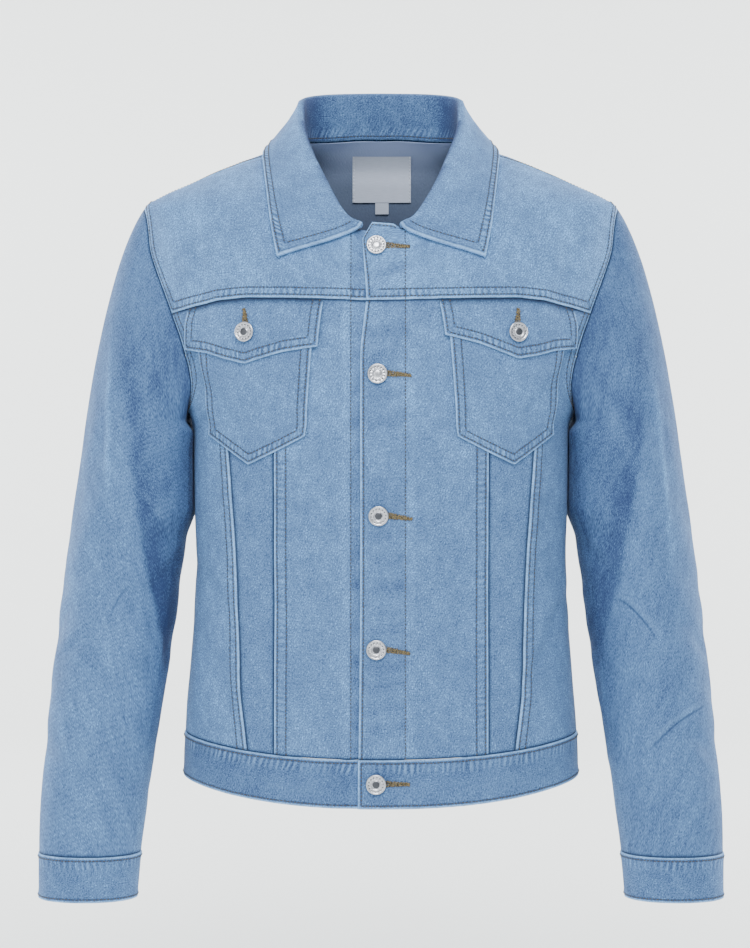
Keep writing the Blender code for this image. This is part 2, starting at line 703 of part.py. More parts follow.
def laid_on(low_x, low_z, top_x, top_z, rows, lift):
    """A piece that lies on the front, lifted off it by a small clearance."""
    bottom = on_front(low_x, low_z)
    top = on_front(top_x, top_z)
    left = lines_between(bottom[0], top[0], rows)
    right = lines_between(bottom[-1], top[-1], rows)
    seat = body(patch(bottom, top, left, right))
    out = facing(seat)
    return seat + out * (lift + CLOTH), seat + out * lift


def satin(x_range, z_range, columns, rows):
    """A flat label inside the back yoke."""
    lining = back_yoke()[1][YOKE_CENTRE - 4:YOKE_CENTRE + 5]
    outer = np.zeros((columns + 1, rows + 1, 3))
    for row, z in enumerate(np.linspace(*z_range, rows + 1)):
        lining_x = [np.interp(z, line[:, 2], line[:, 0]) for line in lining]
        lining_y = [np.interp(z, line[:, 2], line[:, 1]) for line in lining]
        x = np.linspace(*x_range, columns + 1)
        outer[:, row, 0] = x
        outer[:, row, 1] = np.interp(x, lining_x[::-1], lining_y[::-1]) - LABEL_SINK
        outer[:, row, 2] = z
    return outer, outer - AXES[1] * SATIN


def button_seat(x, z, lift, side=1):
    """Centre and direction of a button on the front."""
    seat = body(on_front(x, z))
    out = facing(seat)
    return (seat + out * (lift + GAP)) * np.array([side, 1, 1]), out * np.array([side, 1, 1])


def material(name, colour, roughness, metallic=0.0):
    made = bpy.data.materials.new(name)
    made.use_nodes = True
    shader = made.node_tree.nodes["Principled BSDF"]
    shader.inputs["Base Color"].default_value = (*colour, 1)
    shader.inputs["Roughness"].default_value = roughness
    shader.inputs["Metallic"].default_value = metallic
    return made


def add_object(name, bm, finish):
    mesh = bpy.data.meshes.new(name)
    bmesh.ops.recalc_face_normals(bm, faces=bm.faces[:])
    bm.to_mesh(mesh)
    bm.free()
    mesh.materials.append(finish)
    made = bpy.data.objects.new(name, mesh)
    bpy.context.scene.collection.objects.link(made)
    return made


def add_wall(name, faces, finish, side=1):
    """Grow a grid on the outer face into a closed wall that ends on the inner face."""
    outer, inner = faces
    columns, rows = outer.shape[:2]
    flip = np.array([side, 1, 1]) * MM
    outer_row = (outer * flip).swapaxes(0, 1).reshape(-1, 3)
    inner_row = (inner * flip).swapaxes(0, 1).reshape(-1, 3)
    bm = bmesh.new()
    bmesh.ops.create_grid(bm, x_segments=columns - 1, y_segments=rows - 1, size=1)
    place = bm.verts.layers.int.new("place")
    for i, vert in enumerate(bm.verts):
        vert[place] = i
        vert.co = outer_row[i]
    grown = bmesh.ops.extrude_face_region(bm, geom=bm.faces[:])
    for item in grown["geom"]:
        if isinstance(item, bmesh.types.BMVert):
            item.co = inner_row[item[place]]
    made = add_object(name, bm, finish)
    made.data.shade_smooth()
    made.data.set_sharp_from_angle(angle=math.radians(50))
    return made


def add_button(name, seat, out, finish):
    """Shank button, turned about its own axis and set on the cloth."""
    bm = bmesh.new()
    points = zip(BUTTON_PROFILE["radius"], BUTTON_PROFILE["height"])
    chain = [bm.verts.new((radius * MM, 0, height * MM)) for radius, height in points]
    edges = [bm.edges.new(pair) for pair in zip(chain, chain[1:])]
    bmesh.ops.spin(bm, geom=chain + edges, cent=(0, 0, 0), axis=(0, 0, 1),
                   angle=2 * math.pi, steps=BUTTON_SIDES, use_duplicate=False)
    bmesh.ops.remove_doubles(bm, verts=bm.verts[:], dist=1e-6)
    made = add_object(name, bm, finish)
    made.data.shade_smooth()
    made.data.set_sharp_from_angle(angle=math.radians(40))
    made.location = seat * MM
    made.rotation_mode = "QUATERNION"
    made.rotation_quaternion = Vector(out).to_track_quat("Z", "Y")
    return made


def clear_scene():
    for item in list(bpy.data.objects):
        bpy.data.objects.remove(item)


def build():
    clear_scene()
    denim = material("denim", (0.23, 0.42, 0.68), 0.85)
    collar_denim = material("collar_denim", (0.25, 0.45, 0.71), 0.85)
    satin_cloth = material("satin", (0.55, 0.58, 0.64), 0.45)
    metal = material("button_metal", (0.62, 0.63, 0.66), 0.3, 1.0)
    for side, end in ((1, "left"), (-1, "right")):
        under = side < 0
        add_wall("front_yoke_" + end, front_yoke(under), denim, side)
        add_wall("front_panel_" + end, front_panel(under), denim, side)
        add_wall("front_inset_" + end, front_inset(), denim, side)
        add_wall("front_side_" + end, side_panel(back=False), denim, side)
        add_wall("back_side_" + end, side_panel(back=True), denim, side)
        add_wall("sleeve_top_" + end, sleeve_top(), denim, side)
        add_wall("sleeve_under_" + end, sleeve_under(), denim, side)
        add_wall("cuff_" + end, cuff(), denim, side)
        add_wall("pocket_" + end, pocket(), denim, side)
        add_wall("flap_" + end, flap(), denim, side)
        seat, out = button_seat(*FLAP_BUTTON, FLAP_LIFT + CLOTH, side)
        add_button("button_flap_" + end, seat, out, metal)
    add_wall("back_yoke", back_yoke(), denim)
    add_wall("back_panel", back_panel(), denim)
    add_wall("waistband", waistband(), denim)
    add_wall("collar", collar(), collar_denim)
    add_wall("label", satin(LABEL_X, LABEL_Z, 8, 4), satin_cloth)
    add_wall("size_tab", satin(TAB_X, TAB_Z, 2, 1), satin_cloth)
    lifts = (0, 0, 0, 0, PROUD)
    for i, (x, z) in enumerate(zip(*FRONT_BUTTONS.values())):
        seat, out = button_seat(x, z, lifts[i])
        add_button(f"button_front_{i + 1}", seat, out, metal)


build()
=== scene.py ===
# %% [markdown]
# # A denim trucker jacket in its worn shape
# A jacket like this is cut from about thirty pieces of indigo twill, washed until it is pale,
# and sewn with lapped seams: one piece covers the edge of the next, and two rows of strong
# thread hold the fold down. This script starts from a rigid model of the same jacket. It gives
# each piece the relief of real cloth, sews it with real stitches, and colours it as washed denim.
# The jacket faces -Y, its own left side is at +X, and Z is up.

import json
import math
from functools import partial

import bmesh
import bpy
import numpy as np
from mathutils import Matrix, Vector

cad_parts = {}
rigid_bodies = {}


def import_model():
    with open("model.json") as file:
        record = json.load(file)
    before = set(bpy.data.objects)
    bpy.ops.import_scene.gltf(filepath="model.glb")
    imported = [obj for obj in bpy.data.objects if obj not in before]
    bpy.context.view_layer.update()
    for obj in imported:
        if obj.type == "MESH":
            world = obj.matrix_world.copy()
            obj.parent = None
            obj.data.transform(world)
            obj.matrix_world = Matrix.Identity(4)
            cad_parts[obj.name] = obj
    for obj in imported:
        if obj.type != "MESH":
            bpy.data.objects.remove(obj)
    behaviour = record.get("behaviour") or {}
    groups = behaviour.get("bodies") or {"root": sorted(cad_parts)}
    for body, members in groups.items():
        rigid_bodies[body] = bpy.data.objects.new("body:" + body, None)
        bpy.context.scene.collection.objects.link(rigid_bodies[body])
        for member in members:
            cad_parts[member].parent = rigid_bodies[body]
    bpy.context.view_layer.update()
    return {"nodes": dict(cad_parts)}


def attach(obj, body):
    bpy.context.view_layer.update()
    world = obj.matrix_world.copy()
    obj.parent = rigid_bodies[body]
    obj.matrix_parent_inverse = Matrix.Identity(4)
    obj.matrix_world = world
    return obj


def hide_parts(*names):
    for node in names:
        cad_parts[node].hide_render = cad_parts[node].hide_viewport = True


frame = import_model()
MM = 0.001
print("nodes to dress:", len(frame["nodes"]))

# %% [markdown]
# ## The studio
# The jacket hangs in a soft, even light. A floor that curves up into a wall behind it gives a
# pale ground with no horizon, as a wide roll of paper does. The camera stands level with the
# middle of the jacket, far enough back that the sleeves don't look too large.

# %% Measures of the studio
CAMERA_PLACE = (-0.0058, -2.171, -0.3046)
LENS = 85.0
SENSOR = 36.0
FLOOR_Z = -0.95
FLOOR_HALF_WIDTH = 9.0
FLOOR_FRONT_Y = -9.0
WALL_Y = 5.0
WALL_TOP_Z = 6.0
SWEEP = 1.6
SWEEP_STEPS = 12
WORLD_LIGHT = 0.85
# Each lamp's name, place, what it points at, its size in metres and its power in watts.
LAMPS = (("key", (0.15, -2.6, 1.8), (0, 0, -0.3), 1.4, 112),
         ("fill", (-1.8, -2.4, 0.2), (0, 0, -0.35), 1.8, 22),
         ("wall_left", (-3.4, 2.0, 0.6), (0, 3.7, -0.9), 2.6, 329),
         ("wall_right", (3.4, 2.0, 0.6), (0, 3.7, -0.9), 2.6, 329),
         ("ground", (0, 1.7, 3.0), (0, 1.7, FLOOR_Z), 2.4, 104))
print("camera", -CAMERA_PLACE[1], "metres away, with a lens of", LENS, "mm")


# %% Colours
def linear(code):
    """Turn an sRGB hex colour into the linear values that Blender works in."""
    channels = [int(code[i:i + 2], 16) / 255 for i in (1, 3, 5)]
    return [c / 12.92 if c <= 0.04045 else ((c + 0.055) / 1.055) ** 2.4 for c in channels] + [1.0]


print("pale grey in linear values:", [round(c, 3) for c in linear("#E8EDF2")])


# %% Nodes
EASED = {"interpolation_type": "SMOOTHSTEP"}
MIXED = {"out": 2, "data_type": "RGBA"}


def add(tree, kind, inputs=(), out=0, **settings):
    """Add a node, such as "Math ADD", and return an output. An input is a value or a socket."""
    kind, _, operation = kind.partition(" ")
    node = tree.nodes.new("ShaderNode" + kind)
    if operation:
        node.operation = operation
    for name, value in settings.items():
        setattr(node, name, value)
    for name, value in (inputs if isinstance(inputs, dict) else dict(enumerate(inputs))).items():
        if isinstance(value, bpy.types.NodeSocket):
            tree.links.new(value, node.inputs[name])
        else:
            node.inputs[name].default_value = value
    return node.outputs[out] if node.outputs else node


def blank(name):
    """A material with no nodes yet, and what adds one to it."""
    made = bpy.data.materials.new(name)
    made.use_nodes = True
    made.node_tree.nodes.clear()
    return made, partial(add, made.node_tree)


# %% Meshes and objects
def mesh_of(bm, name):
    """Turn a bmesh into a mesh, and free it."""
    mesh = bpy.data.meshes.new(name)
    bm.to_mesh(mesh)
    bm.free()
    return mesh


def show(name, mesh, *finishes, sharp=None):
    """Put a smooth mesh in the scene. Edges that turn by more than an angle stay sharp."""
    mesh.shade_smooth()
    if sharp:
        mesh.set_sharp_from_angle(angle=math.radians(sharp))
    for finish in finishes:
        mesh.materials.append(finish)
    made = bpy.data.objects.new(name, mesh)
    bpy.context.scene.collection.objects.link(made)
    return made


# %% Background
def paper():
    """Matt background paper: a pale grey with no grain that the eye could see."""
    made, put = blank("background_paper")
    shader = put("BsdfPrincipled", {"Base Color": linear("#E6E9E8"), "Roughness": 0.95,
                                    "Specular IOR Level": 0.1})
    put("OutputMaterial", {"Surface": shader})
    return made


bm = bmesh.new()
profile = [(FLOOR_FRONT_Y, FLOOR_Z), (WALL_Y - SWEEP, FLOOR_Z)]
for turn in np.linspace(0, math.pi / 2, SWEEP_STEPS + 1)[1:]:
    profile.append((WALL_Y - SWEEP + SWEEP * math.sin(turn),
                    FLOOR_Z + SWEEP - SWEEP * math.cos(turn)))
profile.append((WALL_Y, WALL_TOP_Z))
line = [bm.verts.new((-FLOOR_HALF_WIDTH, *place)) for place in profile]
edges = [bm.edges.new(pair) for pair in zip(line, line[1:])]
wide = bmesh.ops.extrude_edge_only(bm, edges=edges)["geom"]
wide = [item for item in wide if isinstance(item, bmesh.types.BMVert)]
bmesh.ops.translate(bm, verts=wide, vec=(2 * FLOOR_HALF_WIDTH, 0, 0))
floor = show("floor", mesh_of(bm, "floor"), paper())
print("floor and wall:", len(floor.data.polygons), "faces")

# %% Camera
camera_data = bpy.data.cameras.new("camera")
camera_data.lens = LENS
camera_data.sensor_width = SENSOR
camera = bpy.data.objects.new("camera", camera_data)
camera.location = CAMERA_PLACE
camera.rotation_euler = (math.pi / 2, 0, 0)
bpy.context.scene.collection.objects.link(camera)
bpy.context.scene.camera = camera
print("camera at", tuple(camera.location))


# %% Lights
# Large square lamps give soft shadows, and a pale world fills them.
for name, place, aim, size, watts in LAMPS:
    data = bpy.data.lights.new(name, "AREA")
    data.size = size
    data.energy = watts
    lamp = bpy.data.objects.new(name, data)
    lamp.location = place
    lamp.rotation_euler = (Vector(aim) - Vector(place)).to_track_quat("-Z", "Y").to_euler()
    bpy.context.scene.collection.objects.link(lamp)
world = bpy.data.worlds.new("studio")
world.use_nodes = True
sky = world.node_tree.nodes["Background"].inputs
sky["Color"].default_value = linear("#E8EDF2")
sky["Strength"].default_value = WORLD_LIGHT
bpy.context.scene.world = world
print("lamps:", len(LAMPS))

# %% [markdown]
# ## Cloth thickness and seams
# Denim of this weight is a little over a millimetre thick. Where an edge is turned in it is two
# or three layers, so a seam stands up as a low ridge. These sizes are the rigid model's own.

# %% Sizes of the cloth, in millimetres
CLOTH = 1.4
DOUBLE = 2.4          # waistband and cuffs
PROUD = 0.6           # how far these two stand out
COLLAR_WALL = 2.0
LEAF_CLEAR = 2.8      # from the collar's leaf to the body
SATIN = 0.8
GAP = 0.3             # between pieces, at every seam
HALF_GAP = GAP / 2
LAP = 2.6             # how deep the right front lies under the left one
LAP_X = (22.0, 34.0)  # it goes under between these
BAND_LAP = 3.0        # the same for the waistband's right end
BAND_LAP_TURN = (349.0, 354.5)   # in degrees round the body
FINE = 6              # fine steps for each step of the rigid model
STEP = 3.8            # between grid lines, away from the seams
CLOSE = np.array([0, 0.3, 0.9, 1.8, 3.0, 4.6, 6.6, 8.8, 11.0, 13.5])   # grid lines by a seam
print("cloth", CLOTH, "mm thick, and", DOUBLE, "mm in the waistband and cuffs")

# %% [markdown]
# ## The form of the body
# The body is one smooth hollow form, known by its level slices: each is a rounded oblong with a
# half width and two half depths, read from short tables. A seam is then a line on this form, and
# a panel is the patch between four seams. Working from slices keeps all panels on one surface,
# so their edges meet along the whole seam.

# %% Tables of the body
def table(names, *rows):
    """Turn rows of numbers into named columns."""
    return dict(zip(names.split(), np.array(rows, float).T))


ROUND = 2.3           # 2 would make every level slice an ellipse
GIRTH = 120.0         # millimetres of girth for each radian round the body
SEAT_Z = -95.0        # height of the line that the yokes are wrapped round
INNER_SEAM_X = 99.0
UNDER_EDGE_X = 21.0
WAIST_Z = -552.0
WAIST_DIP = 15.0
HEM_Z = -593.0
HEM_DIP = 19.0
BACK_YOKE_Z = -150.0
BACK_YOKE_ARCH = 4.0
NECK_FOOT_X = 112.0
WIDTHS = table("z half", (-620, 190), (-592, 190), (-553, 189), (-450, 181.5), (-378, 178.6),
               (-341, 180), (-262, 181), (-243, 187), (-217, 194), (-189, 203), (-153, 214),
               (-120, 222), (-82, 228), (-48, 229), (-42, 222), (-33, 205), (-25, 186),
               (-15, 164), (-2, 131), (4, 112), (8, 92), (12, 80), (30, 60), (60, 40))
FRONT_DEPTHS = table("z depth", (-620, 120), (-592, 120), (-450, 117), (-341, 122), (-262, 127),
                     (-217, 126), (-153, 118), (-100, 107), (-70, 95), (-48, 82), (-25, 64),
                     (-5, 44), (8, 29), (12, 24), (30, 14), (60, 8))
BACK_DEPTHS = table("z depth", (-620, 115), (-592, 115), (-450, 105), (-341, 108), (-217, 118),
                    (-153, 122), (-100, 118), (-48, 105), (-20, 93), (0, 79), (7, 72),
                    (12, 68), (30, 50), (60, 30))
LEAN = table("z rise", (-70, 0), (-40, 0.05), (-14, 0.18), (5, 0.3), (60, 0.3))
CHEST_SEAM = table("x z", (0, -145), (125, -141.5), (152, -143.5), (198, -153))
FRONT_EDGE = table("z x", (-620, -21.5), (-567, -21), (-400, -19.5), (-200, -19.5),
                   (-153, -15), (-145, -14), (-110, -16), (-87, -17.5), (-60, -17.5))
YOKE_HEAD = table("x z", (-17.5, -87), (-8.6, -71), (11, -72.5))
YOKE_HEAD_UNDER = table("x z", (-21, -80), (-6, -80), (8, -79))
OUTER_SEAM = table("z x", (-620, 118), (-560, 124.6), (-504, 131), (-446, 133), (-384, 135.5),
                   (-285, 142.5), (-140, 152))
BACK_SEAM_LINE = table("z x", (-620, 92), (-553, 98), (-400, 118), (-250, 136), (-140, 146))
print("slices in the body:", len(WIDTHS["z"]))

# %% Tables of the armhole, sleeve and collar
LOOP = 13             # positions round half of the armhole, from the shoulder down
YOKE_STOP = 7         # where the yoke's seam meets it
FRONT_SEAM = 11       # where the sleeve's own seams meet it
BACK_SEAM = -8
LOOP_GAP = 0.0075     # gaps between pieces, in positions
CUFF_GAP = 0.014
TIP_GAP = 0.016
SLEEVE_GAP = 0.02
NECK_GAP = 0.01
CAP_FLARE = 0.43      # how far the sleeve head swells outward
CAP_PULL = 0.7
ARM_TOP_Z = -285.0
CUFF_SEAM_Z = -665.5
CUFF_END_Z = -708.0
SHOULDER_ROW = 4      # rows of the collar table
BACK_ROW = 9
ARMPIT_Z = -244.0
ARMHOLE = table("y z", (0, -48), (-2, -48.05), (-17, -53.5), (-27, -70), (-33, -92), (-41, -112),
                (-49, -133), (-54, -153), (-59, -180), (-60, -200), (-57, -218), (-48, -232),
                (-33, -240), (-15, -243.5), (0, -244))
COLLAR = table("neck_x neck_y neck_z fold_x fold_y fold_z edge_x edge_y edge_z",
               (19, -98, -78, 17.5, -100.5, -73, 96, -104, -104),
               (38, -89, -69, 31.5, -92, -65, 98, -100, -95),
               (54, -72, -46, 45, -77, -43, 102, -92, -76),
               (70, -41, -14, 59, -46, -11, 106, -74, -50),
               (78, -10, 5, 70, -14, 21, 111, -46, -18),
               (79, 12, 14, 75, 13, 45, 114, -10, 4),
               (74, 36, 23, 76, 38, 64, 112, 34, 10),
               (63, 56, 27, 66, 60, 72, 90, 76, 10),
               (40, 68, 28.5, 40, 72, 76, 48, 88, 11),
               (0, 72, 29, 0, 75, 77, 0, 92, 11))
ARM = table("z x y half depth", (-285, 238.5, 0, 51, 70), (-310, 240.5, 2, 53, 69),
            (-359, 244.6, 3, 56.1, 66), (-417, 252, 0, 57, 60), (-475, 258.9, -4, 56.3, 55),
            (-513, 263.8, -8, 55.1, 51), (-551, 268.4, -13, 53.7, 48), (-590, 272.4, -18, 52.3, 45),
            (-627, 275.9, -23, 50.9, 42), (-664, 278.3, -28, 48.6, 39), (-708, 280, -31, 46.4, 37))
ARM_FOLDS = table("z turn slope width length depth", (-395, 60, 0.5, 14, 60, 2.0),
                  (-440, 130, -0.6, 12, 50, 2.2), (-455, 20, 0.4, 16, 70, 1.8),
                  (-520, 100, 0.7, 13, 55, 2.4), (-575, 40, -0.5, 14, 60, 2.2),
                  (-560, -80, 0.5, 16, 70, 2.4), (-430, -110, -0.4, 16, 70, 2.4))
print("rings in the sleeve:", len(ARM["z"]))

# %% Tables of the pockets, buttons and label
POCKET_BOTTOM = table("x z", (69.5, -270), (96, -283.5), (122, -296), (142, -281.5), (160, -268))
POCKET_TOP_X = (59.0, 173.0)
FLAP_BOTTOM = table("x z", (58, -183), (90, -189), (108, -194.5), (125.5, -199),
                    (143, -196), (160, -190.5), (181, -187))
FLAP_TOP_X = (53.0, 180.0)
POCKET_LIFT = 0.9
FLAP_LIFT = 3.1
FRONT_BUTTONS = table("x z", (-4.6, -94), (-3.5, -213), (-2.6, -343), (-4.6, -466), (-4.9, -589))
FLAP_BUTTON = (124.0, -174.0)
LABEL_X = (-28.5, 30.5)
LABEL_Z = (-29.5, 15.0)
TAB_X = (-5.5, 8.0)
TAB_Z = (-41.0, -29.9)
LABEL_SINK = 1.0
LABEL_ROW = 1.3
print("front buttons:", len(FRONT_BUTTONS["z"]))


# %% Reading the tables
def curve(x, knots, values):
    """Read a smooth curve with no overshoot through the knots."""
    x = np.clip(np.asarray(x, float), knots[0], knots[-1])
    step = np.diff(knots)
    rise = np.diff(values) / step
    slope = np.zeros(len(knots))
    product = rise[:-1] * rise[1:]
    total = np.where(product > 0, rise[:-1] + rise[1:], 1.0)
    slope[1:-1] = np.where(product > 0, 2 * product / total, 0.0)
    slope[0] = rise[0]
    slope[-1] = rise[-1]
    i = np.clip(np.searchsorted(knots, x, side="right") - 1, 0, len(step) - 1)
    t = (x - knots[i]) / step[i]
    bend = t * t * (3 - 2 * t)
    start = t * (1 - t) ** 2 * step[i] * slope[i]
    end = t * t * (t - 1) * step[i] * slope[i + 1]
    return values[i] + (values[i + 1] - values[i]) * bend + start + end


def read(rows, x):
    """Read a table's second column as a smooth curve over its first."""
    knots, values = list(rows.values())[:2]
    return curve(x, knots, values)


def straight(rows, x):
    """The same, with straight runs between the rows."""
    knots, values = list(rows.values())[:2]
    return np.interp(x, knots, values)


print("tables read from", WIDTHS["z"][0], "to", WIDTHS["z"][-1], "mm")


# %% Small helpers for points and lines
def power(value, exponent):
    """Raise a number to a power and keep its sign."""
    return np.sign(value) * np.abs(value) ** exponent


def unit(v):
    """Make vectors one long."""
    return v / np.linalg.norm(v, axis=-1, keepdims=True)


def smooth(t):
    """Ease from 0 to 1."""
    t = np.clip(t, 0, 1)
    return t * t * (3 - 2 * t)


def bell(x, middle, width):
    """A smooth bump: 1 at its middle, and next to nothing at twice its width."""
    return np.exp(-((x - middle) / width) ** 2)


def running(lengths):
    """Distance run at each point, from the lengths between points."""
    return np.concatenate([[0], np.cumsum(lengths)])


def lines(*stops):
    """Fine straight runs between stops, given as (value, coarse steps) after the first."""
    values = [stops[0]]
    for value, steps in stops[1:]:
        values.extend(np.linspace(values[-1], value, steps * FINE + 1)[1:])
    return np.array(values)


def between(start, end, steps):
    """Points in equal fine steps from one point to another."""
    share = np.linspace(0, 1, steps * FINE + 1)[:, None]
    return start + (end - start) * share


print("fine steps for each coarse one:", FINE)


# %% The surface of the body
AXES = np.eye(3)


def half_width(z):
    """Half width of the body at a height."""
    return read(WIDTHS, z)


def half_depth(z, front):
    """Half depth at a height, of the front or the back."""
    ahead = read(FRONT_DEPTHS, z)
    behind = read(BACK_DEPTHS, z)
    return np.where(front, ahead, behind)


def outside(p):
    """Zero on the body's outer face, below zero inside it."""
    x, y, z = p[..., 0], p[..., 1], p[..., 2]
    level = z - read(LEAN, z) * y
    depth = half_depth(level, y < 0)
    return np.abs(x / half_width(level)) ** ROUND + np.abs(y / depth) ** ROUND - 1


def gradient(p):
    """Direction in which outside() grows, by central differences."""
    step = 0.05
    parts = [outside(p + axis * step) - outside(p - axis * step) for axis in AXES]
    return np.stack(parts, axis=-1) / (2 * step)


def facing(p):
    """Outward direction of the body at points on it."""
    return unit(gradient(p))


def settle(p):
    """Move points straight onto the body's outer face."""
    for _ in range(12):
        g = gradient(p)
        p = p - (outside(p) / (g ** 2).sum(axis=-1))[..., None] * g
    return p


print("level slices are rounded by an exponent of", ROUND)


# %% Places on the body
def body(place):
    """Point on the body from (girth, height), for heights below the neck."""
    angle = place[..., 0] / GIRTH
    z = place[..., 1]
    x = half_width(z) * power(np.sin(angle), 2 / ROUND)
    y = -half_depth(z, np.cos(angle) > 0) * power(np.cos(angle), 2 / ROUND)
    return np.stack([x, y, z], axis=-1)


def on_front(x, z):
    """Girth and height of a front point, from its x and height."""
    x, z = np.broadcast_arrays(np.asarray(x, float), np.asarray(z, float))
    share = np.abs(x) / half_width(z)
    girth = GIRTH * np.sign(x) * np.arcsin(share ** (ROUND / 2))
    return np.stack([girth, z], axis=-1)


def on_back(x, z):
    """The same for a point of the back."""
    place = on_front(x, z)
    place[..., 0] = GIRTH * math.pi - place[..., 0]
    return place


def place_of(p):
    """Girth and height of points that lie on the body."""
    depth = half_depth(p[..., 2], p[..., 1] < 0)
    across = np.abs(p[..., 0] / half_width(p[..., 2])) ** (ROUND / 2)
    along = power(-p[..., 1] / depth, ROUND / 2)
    return np.stack([GIRTH * np.arctan2(across, along), p[..., 2]], axis=-1)


print("girth counted from 0 to", round(2 * math.pi * GIRTH))


# %% [markdown]
# ## Wrapping the yokes
# Over the shoulder the slices get narrow and steep, so the yokes are measured another way: by x,
# and by the turn round a level line through the chest, as a hand would smooth cloth over a
# shoulder. Each point is then found on the body by halving along its ray.

# %% Wrap and patch
REACH = 300.0
HALVINGS = 36


def wrap(p):
    """Coordinates round the yokes' own line: x, turn and distance."""
    turn = np.arctan2(p[..., 1], p[..., 2] - SEAT_Z)
    reach = np.hypot(p[..., 1], p[..., 2] - SEAT_Z)
    return np.stack([p[..., 0], GIRTH * turn, reach], axis=-1)


def unwrap(q):
    """Points on the body at the same x and turn."""
    turn = q[..., 1] / GIRTH
    none = np.zeros_like(turn)
    start = np.stack([q[..., 0], none, none + SEAT_Z], axis=-1)
    way = np.stack([none, np.sin(turn), np.cos(turn)], axis=-1)
    near = none
    far = none + REACH
    for _ in range(HALVINGS):
        middle = (near + far) / 2
        within = outside(start + way * middle[..., None]) < 0
        near = np.where(within, middle, near)
        far = np.where(within, far, middle)
    found = start + way * far[..., None]
    past_the_side = outside(start)[..., None] >= 0
    return np.where(past_the_side, settle(start + way * q[..., 2:]), found)


def fractions(one, two):
    """Mean spacing of two opposite edges, from 0 to 1."""
    total = 0
    for edge in (one, two):
        run = running(np.linalg.norm(np.diff(edge, axis=0), axis=1))
        total = total + run / run[-1] / 2
    return total


def patch(bottom, top, left, right):
    """Fill four edges; bottom and top run the same way, left and right run up."""
    s = fractions(bottom, top)[:, None, None]
    t = fractions(left, right)[None, :, None]
    across = (1 - s) * left[None] + s * right[None]
    up = (1 - t) * bottom[:, None] + t * top[:, None]
    corners = ((1 - s) * (1 - t) * bottom[0] + s * (1 - t) * bottom[-1]
               + (1 - s) * t * top[0] + s * t * top[-1])
    return across + up - corners


print("points round the yokes found to", REACH / 2 ** HALVINGS, "mm")


# %% Seam lines
def armhole(k):
    """Point of the armhole at loop position k; front is above zero, back below."""
    k = np.asarray(k, float)
    run = running(np.hypot(np.diff(ARMHOLE["y"]), np.diff(ARMHOLE["z"])))
    stop = run[list(ARMHOLE["z"]).index(-153)]
    reach = np.interp(np.abs(k), [0, YOKE_STOP, LOOP], [0, stop, run[-1]])
    y = curve(reach, run, ARMHOLE["y"]) * np.sign(k)
    z = curve(reach, run, ARMHOLE["z"])
    level = z - read(LEAN, z) * y
    share = np.abs(y / half_depth(level, y < 0))
    x = half_width(level) * (1 - share ** ROUND) ** (1 / ROUND)
    return np.stack([x, y, z], axis=-1)


def armhole_facing(k):
    """Direction out of the armhole's ring, shared by the body and the sleeve."""
    k = np.asarray(k, float)
    run = armhole(np.minimum(k + 0.02, LOOP)) - armhole(np.maximum(k - 0.02, -LOOP))
    return unit(np.stack([np.zeros_like(k), run[..., 2], -run[..., 1]], axis=-1))


def neck(row):
    """Point of the neck seam at a row of the collar table."""
    rows = np.arange(BACK_ROW + 1.0)
    guess = [curve(row, rows, COLLAR["neck_" + axis]) for axis in "xyz"]
    return settle(np.stack(guess, axis=-1))


def mirror(points):
    """The same points on the other side."""
    return points * np.array([-1, 1, 1])


def chest_seam(x):
    """Height of the seam under the front yoke."""
    return straight(CHEST_SEAM, x)


def waist_seam(angle):
    """Height of the waist seam at a direction round the body."""
    return WAIST_Z - WAIST_DIP * np.maximum(np.cos(angle), 0) ** 2


def front_edge(z, under):
    """Edge of the left front, or the hidden edge of the right one."""
    if under:
        return -UNDER_EDGE_X + 0 * z
    return read(FRONT_EDGE, z)


def outer_seam(z):
    """Seam between the narrow strip and the side, as x at a height."""
    return read(OUTER_SEAM, z)


def back_seam_height(x):
    """Height of the back yoke seam, a little higher at the centre."""
    edge = armhole(-YOKE_STOP)
    return np.interp(np.abs(x), [0, edge[0]], [BACK_YOKE_Z + BACK_YOKE_ARCH, edge[2]])


print("waist seam at", WAIST_Z, "mm, and", WAIST_DIP, "mm lower in front")


# %% [markdown]
# ## A piece of cloth
# Each piece is a grid of points. Its lines are set close together beside a seam, where the relief
# is fine, and further apart elsewhere. Sewing an edge raises the strip that its turned-in cloth
# fills, rounds the fold, notes how far each point is from the fold, and marks where the stitches
# go. The distance is kept as an attribute of the mesh, and the denim material reads it to place
# pale worn folds and the puckers between two rows of stitches.

# %% Grid helpers
SIDES = {"left": (0, 1), "right": (0, -1), "bottom": (1, 1), "top": (1, -1)}


def run_along(grid, axis):
    """Length along each grid line from its start."""
    step = np.linalg.norm(np.diff(grid[..., :3], axis=axis), axis=-1)
    zero = np.zeros_like(np.take(step, [0], axis=axis))
    return np.concatenate([zero, np.cumsum(step, axis=axis)], axis=axis)


def stations(length, step):
    """Distances along a grid line: close together by both ends, and even between."""
    near = CLOSE[CLOSE < length * 0.42]
    count = max(int(round((length - 2 * near[-1]) / step)), 1)
    middle = np.linspace(near[-1], length - near[-1], count + 1)
    return np.concatenate([near[:-1], middle, length - near[-2::-1]])


def regrid(grid, axis, step):
    """Move the grid lines to their stations."""
    run = run_along(grid, axis)
    share = (run / np.take(run, [-1], axis=axis)).mean(axis=1 - axis)
    length = np.take(run, [-1], axis=axis).mean()
    at = np.interp(stations(length, step) / length, share, np.arange(len(share)))
    low = np.minimum(at.astype(int), len(share) - 2)
    part = at - low
    part = part.reshape((-1, 1, 1) if axis == 0 else (1, -1, 1))
    return np.take(grid, low, axis=axis) * (1 - part) + np.take(grid, low + 1, axis=axis) * part


print("grid lines close to a seam:", len(CLOSE))


